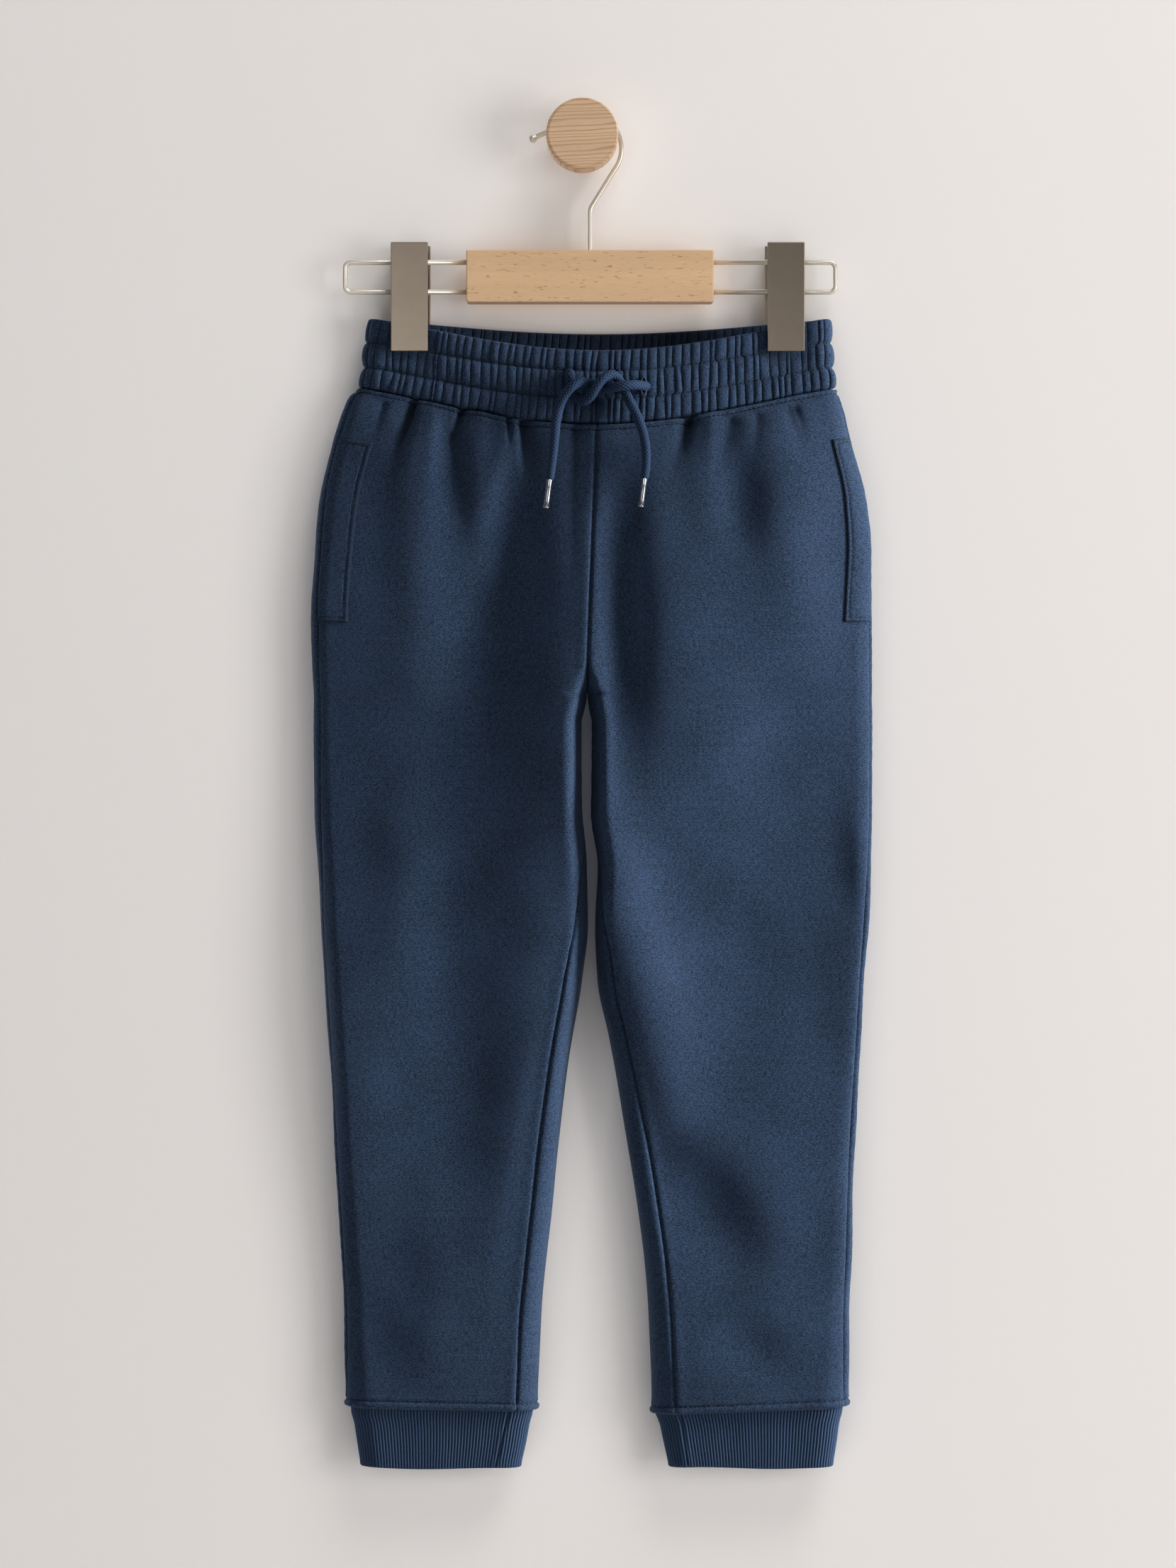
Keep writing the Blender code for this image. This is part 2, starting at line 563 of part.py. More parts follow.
def smooth_line(points, steps):
    """A smooth curve through points: at each, its direction is that of the line past it."""
    points = np.array(points, float)
    slopes = np.gradient(points, axis=0)
    line = []
    for first, second, slope, next_slope in zip(points, points[1:], slopes, slopes[1:]):
        for t in np.arange(steps) / steps:
            line.append(
                (2 * t**3 - 3 * t**2 + 1) * first
                + (t**3 - 2 * t**2 + t) * slope
                + (3 * t**2 - 2 * t**3) * second
                + (t**3 - t**2) * next_slope
            )
    return line + [points[-1]]


def arc(centre, radius, first, last, steps):
    """Points x, y, z of an arc in the hanger's plane, from one angle in degrees to another."""
    angles = np.radians(np.linspace(first, last, steps + 1))
    return [
        (centre[0] + radius * math.cos(a), HANGER_Y, centre[1] + radius * math.sin(a))
        for a in angles
    ]


def tube(maker, name, line, diameter, material, resolution=3):
    curve = bpy.data.curves.new(name, "CURVE")
    curve.dimensions = "3D"
    curve.bevel_depth = diameter / 2 * MM
    curve.bevel_resolution = resolution
    curve.use_fill_caps = True
    spline = curve.splines.new("POLY")
    spline.points.add(len(line) - 1)
    for point, place in zip(spline.points, line):
        point.co = (place[0] * MM, place[1] * MM, place[2] * MM, 1.0)
    return maker.add(name, curve, material)


def made_mesh(maker, thing):
    """Turns a curve object into a mesh object, with its caps welded on."""
    graph = bpy.context.evaluated_depsgraph_get()
    mesh = bpy.data.meshes.new_from_object(thing.evaluated_get(graph))
    name, place, material = thing.name, thing.matrix_world.copy(), thing.data.materials[0].name
    bpy.data.objects.remove(thing, do_unlink=True)
    work = bmesh.new()
    work.from_mesh(mesh)
    bmesh.ops.remove_doubles(work, verts=work.verts, dist=1e-6)
    work.to_mesh(mesh)
    work.free()
    mesh.materials.clear()
    solid = maker.add(name, mesh, material)
    solid.matrix_world = place
    return solid


def turned(maker, name, profile, material, steps):
    """A piece turned on the lathe: profile is radius and height, down its outer side."""
    mesh = bpy.data.meshes.new(name)
    edges = [(i, i + 1) for i in range(len(profile) - 1)]
    mesh.from_pydata([(r * MM, 0.0, z * MM) for r, z in profile], edges, [])
    thing = maker.add(name, mesh, material)
    screw = thing.modifiers.new("turn", "SCREW")
    screw.axis = "Z"
    screw.steps = steps
    screw.render_steps = steps
    screw.use_merge_vertices = True
    screw.merge_threshold = 1e-5
    screw.use_smooth_shade = True
    return thing


def box_mesh(name, low, high):
    work = bmesh.new()
    bmesh.ops.create_cube(work, size=1.0)
    low, high = np.array(low, float) * MM, np.array(high, float) * MM
    for vertex in work.verts:
        vertex.co = tuple((low + high) / 2 + np.array(vertex.co) * (high - low))
    mesh = bpy.data.meshes.new(name)
    work.to_mesh(mesh)
    work.free()
    return mesh


def round_edges(thing, width):
    bevel = thing.modifiers.new("edges", "BEVEL")
    bevel.width = width * MM
    bevel.segments = 2
    bevel.limit_method = "ANGLE"


def bore(maker, thing, name, start, end):
    """Cuts a round hole for the hanger's wire, from start to end."""
    start, end = np.array(start, float), np.array(end, float)
    work = bmesh.new()
    length = float(np.linalg.norm(end - start))
    bmesh.ops.create_cone(
        work, cap_ends=True, segments=14, radius1=BORE_RADIUS * MM, radius2=BORE_RADIUS * MM,
        depth=length * MM,
    )  # fmt: skip
    mesh = bpy.data.meshes.new(name)
    work.to_mesh(mesh)
    work.free()
    cutter = maker.add_cutter(name, mesh)
    cutter.location = tuple((start + end) / 2 * MM)
    if abs(end[0] - start[0]) > length / 2:
        cutter.rotation_euler = (0.0, math.radians(90), 0.0)
    cut = thing.modifiers.new(name, "BOOLEAN")
    cut.operation = "DIFFERENCE"
    cut.object = cutter


def drawcord(maker):
    for name, route in (("right", CORD_RIGHT), ("left", CORD_LEFT)):
        line = smooth_line(route, CORD_STEPS)
        tube(maker, f"drawcord_{name}", line, CORD_DIAMETER, "navy_cord", resolution=2)
        profile = (
            (0.0, 0.0),
            (AGLET_RADIUS + AGLET_FLARE, 0.0),
            (AGLET_RADIUS, -AGLET_LIP),
            (AGLET_RADIUS, AGLET_LIP - AGLET_LENGTH),
            (AGLET_RADIUS + AGLET_FLARE, -AGLET_LENGTH),
            (0.0, -AGLET_LENGTH),
        )
        aglet = turned(maker, f"aglet_{name}", profile, "nickel", 16)
        end, before = np.array(route[-1]), np.array(route[-2])
        way = unit(end - before)
        aglet.location = tuple((end + way * AGLET_GAP) * MM)
        aglet.rotation_euler = (math.asin(way[1]), -math.asin(way[0]), 0.0)


def hanger_block(maker):
    deep = BLOCK_DEEP / 2
    mesh = box_mesh(
        "hanger_block",
        (BLOCK_X[0], HANGER_Y - deep, BLOCK_Z[0]),
        (BLOCK_X[1], HANGER_Y + deep, BLOCK_Z[1]),
    )
    work = bmesh.new()
    work.from_mesh(mesh)
    corners = [
        edge
        for edge in work.edges
        if all(v.co.z < BLOCK_Z[0] * MM + 1e-6 for v in edge.verts)
        and abs(edge.verts[0].co.x - edge.verts[1].co.x) < 1e-6
    ]
    bmesh.ops.bevel(
        work, geom=corners, offset=BLOCK_CORNER * MM, segments=3, affect="EDGES", profile=0.5
    )
    work.to_mesh(mesh)
    work.free()
    block = maker.add("hanger_block", mesh, "beech")
    round_edges(block, BLOCK_EDGE)
    for side in SIDES:
        face = BLOCK_X[0] if side == RIGHT else BLOCK_X[1]
        for z in FRAME_Z:
            start = (face + side * 2.0, HANGER_Y, z)
            end = (face - side * (WIRE_IN_BLOCK + 2 * FIT_GAP), HANGER_Y, z)
            bore(maker, block, f"block_bore_{SIDES[side]}_{z:.0f}", start, end)
    top = (HOOK_X, HANGER_Y, BLOCK_Z[1] + 2.0)
    bottom = (HOOK_X, HANGER_Y, BLOCK_Z[1] - WIRE_IN_BLOCK - 2 * FIT_GAP)
    bore(maker, block, "block_bore_hook", top, bottom)


def hanger_wires(maker):
    """Each half of the frame is one wire, bent twice and let into the block at both ends."""
    low, high = FRAME_Z
    for side, name in SIDES.items():
        inside = (BLOCK_X[0] if side == RIGHT else BLOCK_X[1]) - side * WIRE_IN_BLOCK
        corner = FRAME_ENDS[side] - side * FRAME_CORNER
        outward, downward = (0, -90) if side == LEFT else (180, 270)
        upper = arc((corner, high - FRAME_CORNER), FRAME_CORNER, 90, outward, 4)
        lower = arc((corner, low + FRAME_CORNER), FRAME_CORNER, outward, downward, 4)
        line = [(inside, HANGER_Y, high), *upper, *lower, (inside, HANGER_Y, low)]
        tube(maker, f"hanger_wire_{name}", line, WIRE, "nickel")


def hanger_hook(maker):
    bend = arc(HOOK_BEND, HOOK_RADIUS, HOOK_FROM, HOOK_TO, 16)
    foot = (HOOK_X, BLOCK_Z[1] - WIRE_IN_BLOCK)
    shank = [(x, HANGER_Y, z) for x, z in (foot, *HOOK_NECK)]
    lip = [(x, HANGER_Y, z) for x, z in HOOK_LIP]
    hook = tube(maker, "hanger_hook", [*shank, *bend, *lip], WIRE, "nickel")
    hook = made_mesh(maker, hook)
    work = bmesh.new()
    bmesh.ops.create_uvsphere(work, u_segments=12, v_segments=8, radius=HOOK_BALL * MM)
    mesh = bpy.data.meshes.new("hook_ball")
    work.to_mesh(mesh)
    work.free()
    ball = maker.add_cutter("hook_ball", mesh)
    ball.location = (lip[-1][0] * MM, HANGER_Y * MM, lip[-1][2] * MM)
    joined = hook.modifiers.new("ball", "BOOLEAN")
    joined.operation = "UNION"
    joined.object = ball


def clips(maker):
    """Each clip is two plates on a bridge that slides on both wires."""
    for side, name in SIDES.items():
        centre = CLIP_X[side]
        for face, shift in (("front", 0.0), ("back", -side * CLIP_BACK_SHIFT)):
            way = -1 if face == "front" else 1
            near, far = sorted((HANGER_Y + way * CLIP_GRIP, HANGER_Y + way * (CLIP_GRIP + CLIP_PLATE)))
            left, right = centre + shift - CLIP_WIDE / 2, centre + shift + CLIP_WIDE / 2
            mesh = box_mesh(f"clip_{name}_{face}", (left, near, CLIP_Z[0]), (right, far, CLIP_Z[1]))
            round_edges(maker.add(f"clip_{name}_{face}", mesh, "nickel"), PLATE_EDGE)
        deep = CLIP_GRIP - FIT_GAP
        mesh = box_mesh(
            f"clip_{name}_bridge",
            (centre - BRIDGE_WIDE / 2, HANGER_Y - deep, BRIDGE_Z[0]),
            (centre + BRIDGE_WIDE / 2, HANGER_Y + deep, BRIDGE_Z[1]),
        )
        bridge = maker.add(f"clip_{name}_bridge", mesh, "nickel")
        round_edges(bridge, BRIDGE_EDGE)
        for z in FRAME_Z:
            start = (centre - BRIDGE_WIDE, HANGER_Y, z)
            end = (centre + BRIDGE_WIDE, HANGER_Y, z)
            bore(maker, bridge, f"clip_bore_{name}_{z:.0f}", start, end)


def wall_knob(maker):
    """The stem is as thick as the hook's bend lets it be where the hook rests on it."""
    neck = HOOK_RADIUS - WIRE / 2 - math.hypot(*HOOK_BEND) - HOOK_REST
    profile = (
        (0.0, KNOB_FRONT),
        *((KNOB_RADIUS - inwards, KNOB_FRONT - back) for inwards, back in KNOB_EDGE),
        (KNOB_RADIUS, KNOB_NECK + KNOB_BACK_EDGE),
        (KNOB_RADIUS - KNOB_BACK_EDGE, KNOB_NECK),
        (neck, KNOB_NECK),
        (neck, 0.0),
        (0.0, 0.0),
    )
    knob = turned(maker, "wall_knob", profile, "knob_wood", KNOB_STEPS)
    knob.rotation_euler = (math.radians(90), 0.0, 0.0)


def main():
    clear_scene()
    maker = Maker()
    legs(maker)
    waistband(maker)
    cuffs(maker)
    pocket_welts(maker)
    drawcord(maker)
    hanger_block(maker)
    hanger_wires(maker)
    hanger_hook(maker)
    clips(maker)
    wall_knob(maker)


main()
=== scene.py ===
"""Looks of a child's fleece jogger sweatpants, clipped to a wire and beech hanger on a wall knob.

Tables are in millimetres, and MM turns them into Blender's metres. The wall is the plane y = 0 and
everything hangs in front of it, at y < 0. Right and left are the wearer's, so the right leg is at
-X. Each operator makes one piece or one group of like pieces, in the place of its plain solids.
"""

import functools
import json
import math

import bmesh
import bpy
import numpy as np
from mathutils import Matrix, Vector

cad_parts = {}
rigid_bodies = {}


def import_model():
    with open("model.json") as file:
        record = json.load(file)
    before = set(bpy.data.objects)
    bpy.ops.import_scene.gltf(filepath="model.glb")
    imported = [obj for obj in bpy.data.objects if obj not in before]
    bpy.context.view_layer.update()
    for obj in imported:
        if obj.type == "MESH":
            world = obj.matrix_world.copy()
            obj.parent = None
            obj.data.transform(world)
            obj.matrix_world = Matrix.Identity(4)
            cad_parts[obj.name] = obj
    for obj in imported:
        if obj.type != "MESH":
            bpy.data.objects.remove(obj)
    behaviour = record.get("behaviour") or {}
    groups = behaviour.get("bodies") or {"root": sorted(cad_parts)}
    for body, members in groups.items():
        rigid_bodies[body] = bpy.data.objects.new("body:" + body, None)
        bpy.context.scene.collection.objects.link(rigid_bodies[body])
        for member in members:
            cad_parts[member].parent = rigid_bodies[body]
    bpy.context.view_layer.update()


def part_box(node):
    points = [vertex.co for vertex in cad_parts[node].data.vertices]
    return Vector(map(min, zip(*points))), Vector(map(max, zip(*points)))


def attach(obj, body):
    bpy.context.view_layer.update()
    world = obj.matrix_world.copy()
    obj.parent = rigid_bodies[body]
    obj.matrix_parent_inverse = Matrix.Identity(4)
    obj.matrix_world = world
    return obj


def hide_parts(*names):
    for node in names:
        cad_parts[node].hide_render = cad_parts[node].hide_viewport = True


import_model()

bl_info = {
    "name": "Jogger Sweatpants on a Hanger",
    "version": (1, 0, 0),
    "blender": (4, 5, 0),
    "location": "View3D > Sidebar > Joggers",
    "description": "Makes fleece jogger sweatpants, their drawcord, clip hanger and wall knob",
    "category": "Object",
}

MM = 0.001
RIGHT, LEFT = -1, 1
SIDES = {RIGHT: "right", LEFT: "left"}

# --- The trousers' sections: each row is one level, whose height is true at the side edges. ---
# out, in: the outer and inner edges of the right and the left half, x. middle: y halfway between
# front and back. depth: from there to the cloth at the middle of the width, side_depth: the same
# near the edges. front_dip, back_dip: how far the cloth sags at the middle, between the clips.
SECTION_COLUMNS = (
    "level", "right_out", "right_in", "left_in", "left_out",
    "middle", "depth", "side_depth", "front_dip", "back_dip",
)  # fmt: skip
BAND_SECTIONS = (
    (-102, -119.6, 8.0, 8.4, 139.6, -15.0, 12.0, 4.6, 18.8, 7.4),
    (-116, -121.8, 8.0, 8.4, 140.0, -15.0, 12.0, 4.8, 16.8, 7.4),
    (-130, -122.6, 7.9, 8.3, 140.8, -15.2, 12.2, 5.0, 18.4, 7.8),
    (-142, -124.6, 7.8, 8.2, 141.8, -15.5, 12.6, 5.4, 20.2, 8.0),
)
BODY_SECTIONS = (
    (-142, -124.6, 7.8, 8.2, 141.8, -15.5, 12.6, 5.4, 20.2, 8.0),
    (-146, -131.6, 7.8, 8.2, 145.0, -15.8, 13.2, 6.2, 19.6, 7.8),
    (-153, -135.0, 7.7, 8.1, 147.8, -16.2, 13.4, 6.8, 18.6, 7.5),
    (-172, -141.2, 7.2, 7.6, 152.2, -17.0, 13.0, 7.2, 16.0, 6.5),
    (-204, -148.4, 6.0, 6.4, 160.4, -18.2, 12.0, 7.2, 11.0, 4.5),
    (-236, -151.4, 4.9, 5.3, 163.6, -19.0, 11.4, 7.2, 6.5, 2.5),
    (-268, -153.2, 3.8, 4.2, 163.6, -19.4, 11.0, 7.2, 3.0, 1.0),
    (-300, -153.0, 2.9, 3.3, 164.0, -19.6, 11.0, 7.2, 0.6, 0.2),
    (-316, -152.2, 2.6, 3.0, 164.0, -19.6, 11.0, 7.2, 0.0, 0.0),
    (-332, -152.0, -0.4, 5.4, 164.2, -19.6, 11.0, 7.2, 0.0, 0.0),
    (-380, -151.2, -0.2, 5.4, 164.4, -19.6, 11.2, 7.2, 0.0, 0.0),
    (-412, -149.6, 2.4, 9.0, 163.6, -19.6, 11.4, 7.2, 0.0, 0.0),
    (-444, -148.2, 3.2, 7.6, 162.0, -19.6, 11.6, 7.2, 0.0, 0.0),
    (-476, -145.8, -0.4, 8.8, 159.8, -19.6, 11.8, 7.2, 0.0, 0.0),
    (-508, -143.4, -5.6, 14.8, 158.0, -19.6, 12.0, 7.2, 0.0, 0.0),
    (-540, -141.6, -10.0, 20.8, 156.0, -19.5, 12.2, 7.4, 0.0, 0.0),
    (-572, -140.0, -14.0, 26.4, 154.2, -19.4, 12.4, 7.6, 0.0, 0.0),
    (-604, -138.0, -17.2, 31.2, 153.0, -19.2, 12.6, 8.0, 0.0, 0.0),
    (-636, -136.0, -20.4, 35.2, 152.2, -19.0, 12.8, 8.4, 0.0, 0.0),
    (-668, -134.6, -23.4, 37.8, 151.0, -18.6, 12.9, 9.2, 0.0, 0.0),
    (-708, -134.2, -24.8, 39.0, 151.0, -18.2, 13.0, 11.4, 0.0, 0.0),
    (-716, -134.0, -25.2, 39.2, 150.8, -18.0, 12.8, 12.0, 0.0, 0.0),
    (-719, -133.2, -26.0, 40.0, 150.0, -18.0, 12.6, 12.2, 0.0, 0.0),
)
CUFF_SECTIONS = (
    (-711, -128.4, -30.4, 44.6, 145.2, -18.0, 8.6, 8.0, 0.0, 0.0),
    (-717, -130.4, -28.2, 42.2, 147.0, -18.0, 9.4, 8.8, 0.0, 0.0),
    (-721, -130.4, -28.6, 42.0, 146.6, -18.0, 9.4, 8.8, 0.0, 0.0),
    (-727, -128.8, -30.2, 44.2, 145.0, -18.0, 9.0, 8.4, 0.0, 0.0),
    (-737, -127.2, -32.0, 46.4, 143.6, -18.0, 8.8, 8.2, 0.0, 0.0),
    (-750, -125.2, -34.9, 49.3, 141.5, -18.0, 8.8, 8.2, 0.0, 0.0),
)
CROTCH = -316.0
CROTCH_RISE = 26.0  # over this height the centre seam curves from the crotch to the front
EDGE_ROUND = 1.4  # how wide the rounding of an edge is, as a share of its depth
SAG_POWER = 1.2  # how pointed the sag between the clips is
FOLDS_FROM, FOLDS_OVER = -142.0, 16.0  # folds grow over this height below the waist seam
FOLDS_TO, FOLDS_LAST = -722.0, 26.0  # and fade over this height above the cuffs
FOLD_FADE = 1.5  # how softly a fold ends
FULL_REACH = 60.0  # from an outer edge to the full depth
FULL_OVER = 30.0  # the height over which the band's pointed oval becomes the body's full one
HEM_TILT_FROM, HEM = -640.0, -719.0
HEM_TILT = {RIGHT: (-0.9, 1.2), LEFT: (-3.0, 1.2)}  # how far the hem rises, inner and outer edge
FINE = 200  # steps along half an outline

# Where the side seam and the inseam lie, in front of the edge: level, inseam right and left,
# side seam right and left, each an x distance from its edge.
SEAM_PLACES = (
    (-142, 0.0, 0.0, 3.0, 0.6),
    (-300, 0.0, 0.0, 4.0, 1.0),
    (-390, 0.0, 0.2, 3.0, 1.6),
    (-430, 5.0, 3.4, 2.2, 2.2),
    (-476, 9.6, 9.0, 1.6, 2.6),
    (-719, 12.0, 13.5, 1.0, 3.0),
)
# Broad folds: x and z of the upper and lower end, half width towards -X and towards +X, depth
# (inwards; a ridge is negative), and how many times wider the fold is at its lower end.
FRONT_FOLDS = (
    (15, -154, -44, -600, 41, 42, -13.4, 1.4),
    (43, -132, 71, -470, 37, 33, -13.4, 1.5),
    (-13, -290, 75, -640, 20, 20, -7.7, 0.9),
    (-33, -148, -60, -338, 11, 12, 5.7, 2.0),
    (-84, -80, -102, -352, 14, 10, -2.8, 2.0),
    (96, -159, 83, -239, 19, 22, 3.9, 0.7),
    (98, -90, 122, -350, 48, 43, -10.8, 0.6),
    (118, -314, 96, -613, 48, 34, 7.3, 2.0),
    (60, -552, 122, -637, 22, 25, -6.3, 1.3),
    (78, -680, 85, -771, 17, 18, -3.7, 1.9),
    (-70, -587, -88, -760, 16, 48, -1.5, 2.0),
    (-112, -342, -86, -708, 34, 43, 5.6, 0.8),
    (-21, -455, -65, -697, 15, 7, -1.5, 1.8),
    (-95, -330, -134, -630, 48, 27, -13.4, 2.0),
    (153, -353, 169, -480, 11, 18, -1.6, 0.7),
    (-13, -370, -4, -590, 32, 7, -3.2, 1.4),
    (30, -430, 84, -550, 10, 21, -3.2, 2.0),
    (-71, -70, -43, -325, 10, 12, -2.4, 1.3),
    (18, -166, 23, -410, 12, 21, 5.2, 0.7),
    (14, -551, 145, -651, 24, 24, 7.6, 1.7),
)
BACK_FOLDS = (
    (-30, -160, -62, -330, 18, 18, 3.4, 1.0),
    (44, -158, 74, -320, 18, 18, 3.0, 1.0),
    (-112, -170, -96, -290, 18, 18, 2.0, 1.0),
    (122, -170, 112, -300, 18, 18, 2.2, 1.0),
    (-76, -400, -70, -600, 22, 22, 2.2, 1.0),
    (84, -420, 96, -590, 22, 22, 2.4, 1.0),
)
# Creases: smaller troughs and ridges on the folds, in the same columns.
FRONT_CREASES = (
    (-30, -160, -52, -420, 20, 16, 2.2, 1.4),
    (21, -165, 27, -350, 9, 9, 2.2, 1.3),
    (2, -370, 50, -560, 12, 16, -2.2, 1.3),
    (44, -555, 102, -650, 16, 14, 2.0, 1.3),
    (-122, -345, -122, -470, 16, 14, 1.5, 1.2),
    (138, -350, 146, -450, 12, 14, 1.5, 1.2),
    (60, -655, 130, -712, 14, 12, 1.8, 1.2),
    (-130, -650, -90, -712, 16, 14, 1.5, 1.3),
    (-62, -480, -60, -620, 18, 16, 1.4, 1.2),
    (52, -170, 60, -250, 10, 10, 1.3, 1.3),
    (88, -170, 96, -255, 10, 10, 1.3, 1.3),
    (104, -260, 70, -370, 16, 16, -1.4, 1.3),
    (-74, -165, -72, -250, 10, 9, 1.4, 1.3),
    (-118, -180, -106, -300, 12, 14, 1.4, 1.3),
    (96, -420, 84, -560, 20, 20, 1.3, 1.3),
    (128, -420, 140, -560, 16, 14, 1.2, 1.2),
    (-84, -240, -96, -370, 16, 14, -1.2, 1.3),
    (-92, -560, -84, -690, 18, 16, -1.2, 1.2),
    (118, -575, 100, -690, 16, 16, -1.2, 1.2),
)
BACK_CREASES = (
    (-104, -162, -66, -300, 16, 22, 1.8, 1.4),
    (-52, -150, -84, -268, 12, 16, -1.4, 1.3),
    (-18, -170, -40, -392, 18, 14, 1.6, 1.2),
    (16, -158, 22, -330, 14, 20, 1.5, 1.2),
    (52, -148, 40, -262, 12, 12, -1.2, 1.3),
    (98, -156, 70, -292, 20, 16, 1.9, 1.4),
    (128, -260, 66, -402, 22, 18, 1.7, 1.2),
    (-136, -300, -52, -438, 20, 24, 1.8, 1.1),
    (-40, -330, -118, -470, 18, 22, -1.5, 1.3),
    (22, -350, 96, -476, 16, 22, 1.6, 1.3),
    (-110, -470, -60, -640, 20, 16, 1.5, 1.2),
    (66, -500, 118, -650, 18, 22, -1.5, 1.3),
    (120, -560, 52, -690, 16, 18, 1.6, 1.2),
    (-64, -600, -120, -706, 18, 16, 1.5, 1.1),
)
# Tucks, the sharper folds that start at the waist seam: x and z of the upper and lower end, half
# width to the right and to the left of the line (-X and +X), depth, and how many times wider the
# tuck is at its lower end.
FRONT_TUCKS = (
    (-94.4, -150, -107, -184, 2.6, 1.4, 4.6, 1.6),
    (-95.6, -156, -114, -206, 4.6, 2.8, 3.0, 2.2),
    (-84.0, -156, -88, -226, 5.0, 5.5, -1.5, 1.2),
    (-68.4, -154, -75.6, -176, 1.4, 3.2, 4.6, 1.3),
    (-75, -168, -62, -246, 6.0, 7.0, 2.1, 1.4),
    (-56.0, -158, -58, -222, 6.5, 7.0, -1.7, 1.2),
    (-42.2, -156, -40.8, -180, 1.3, 2.0, 4.2, 1.2),
    (-35.2, -158, -32, -200, 1.4, 6.4, 5.0, 1.8),
    (-4.0, -166, -6.5, -262, 3.4, 3.0, 1.8, 1.3),
    (61.6, -156, 55.6, -182, 2.8, 1.4, 4.4, 1.6),
    (60, -160, 48, -194, 3.0, 5.0, 2.9, 1.8),
    (73.0, -159, 70, -206, 5.5, 5.0, -1.3, 1.3),
    (84, -161, 74, -198, 3.4, 5.4, 2.0, 1.8),
    (121, -153, 127, -172, 1.5, 1.6, 1.1, 1.4),
    (117, -154, 126, -184, 3.4, 4.2, 1.6, 1.6),
    (-112, -151, -120, -176, 2.6, 2.2, 1.4, 1.6),
    (99, -158, 96, -186, 2.6, 3.6, 1.4, 1.6),
)
BACK_TUCKS = (
    (-100, -146, -112, -196, 4.0, 3.0, 2.7, 2.0),
    (-74, -148, -70, -182, 2.6, 3.2, 2.5, 1.8),
    (-52, -150, -56, -174, 1.8, 2.2, 2.0, 1.6),
    (-24, -151, -30, -206, 3.0, 5.0, 3.0, 1.8),
    (-8, -151, -4, -178, 2.0, 2.6, 1.7, 1.5),
    (22, -151, 30, -200, 4.6, 3.0, 2.8, 1.8),
    (47, -150, 44, -178, 2.2, 2.4, 2.1, 1.5),
    (70, -149, 78, -192, 4.4, 2.6, 2.7, 1.9),
    (96, -147, 94, -170, 2.2, 2.8, 1.8, 1.6),
    (120, -145, 130, -188, 3.6, 3.2, 2.5, 1.8),
)
TUCKS = {"front": FRONT_TUCKS, "back": BACK_TUCKS}
CREASES = {"front": FRONT_CREASES, "back": BACK_CREASES}
UNEVEN = {"front": (0.16, 30.0, 11), "back": (0.36, 36.0, 12)}  # height, size and seed

# --- Cloth edges. Rows and columns of points stand close together near an edge. ---
CLOSE = (0.0, 0.3, 0.7, 1.2, 1.8, 2.4, 2.9, 3.3, 3.7, 4.1, 4.7, 5.6)
HEM_CLOSE = (0.0, 0.35, 0.8, 1.4, 2.1, 2.8, 3.5, 4.1, 4.6, 5.1, 5.8, 6.8)
SEAM_CLOSE = (0.0, 0.35, 0.8, 1.4, 2.2, 3.2, 4.4)
LEG_ROWS = 376
PANEL_COLUMNS = {"front": 157, "back": 97}
PLAIN_EVERY = 3  # a panel's plain inside has a point for each three of its outside
WAIST_ROLL, HEM_ROLL = 3.6, 4.7  # from a turned edge to its stitches
WAIST_PROUD, HEM_PROUD = 1.4, 1.0  # the height of that roll
SEAM_TUCK = 1.5  # how far the cloth turns in at a seam
STITCH_PINCH, PINCH_WIDE = 0.7, 0.62  # how deep and how wide stitches pull the cloth in
SEAM_RIDGE = 0.20  # the height of a plain seam's allowance under the cloth
RIDGE_FROM, RIDGE_WIDE = 3.4, 2.2  # from the seam to the middle of that ridge, and its width
SIDE_SEAM_SHARE = 0.55  # how strong the side seam is beside the inseam
TUCK_SHADE_DEPTH = 3.4  # the depth of a tuck at which its painted shade is darkest

# --- The waistband: elastic gathered in three puffs between two stitched rows. ---
BAND_TOP, BAND_FOOT = -102.0, -142.0
BAND_STITCHES = (-115.6, -129.8)
GATHER_PLACES = (0.0, 0.025, 0.07, 0.14, 0.28, 0.5, 0.72, 0.86, 0.93, 0.975)  # columns over a gather
BAND_ROWS = ((-101.0, -114.9), (-116.3, -129.1), (-130.5, -142.5))  # where each puff's gathers run
# level, how far the crowns and the creases of the gathers stand out.
BAND_PINCHES = ((-102.0, 0.9, 0.0), (-115.6, 0.2, -0.3), (-129.8, 0.2, -0.3), (-142.0, 0.5, 0.0))
BAND_PUFFS = ((2.3, 0.7), (3.0, 1.1), (2.8, 0.9))
SQUEEZE_REACH = 15.0  # how far along the band a clip flattens its puffs
SQUEEZE = 0.75  # the share of their height that they lose at its middle
SQUEEZE_FADE = 10.0  # the height over which they recover below it
ROLL_TOP = 1.4  # the height of the band's folded top edge
THROUGH = 2.0  # the least thickness of the band and of a cuff
FOOT_LAP = 1.5  # how far the band's inside goes down behind the panels
BAND_CLOSE = (0.0, 0.35, 0.8, 1.4, 2.2)  # the lowest rows, up from its foot
BAND_LEVELS, BAND_INSIDE = 37, 24  # rows on its outside above those, and on its inside
FOLD_ANGLES = np.radians(np.linspace(0.0, 180.0, 9))[1:-1]  # rows over a folded edge
BAND_CUT = (0.72, 0.048)

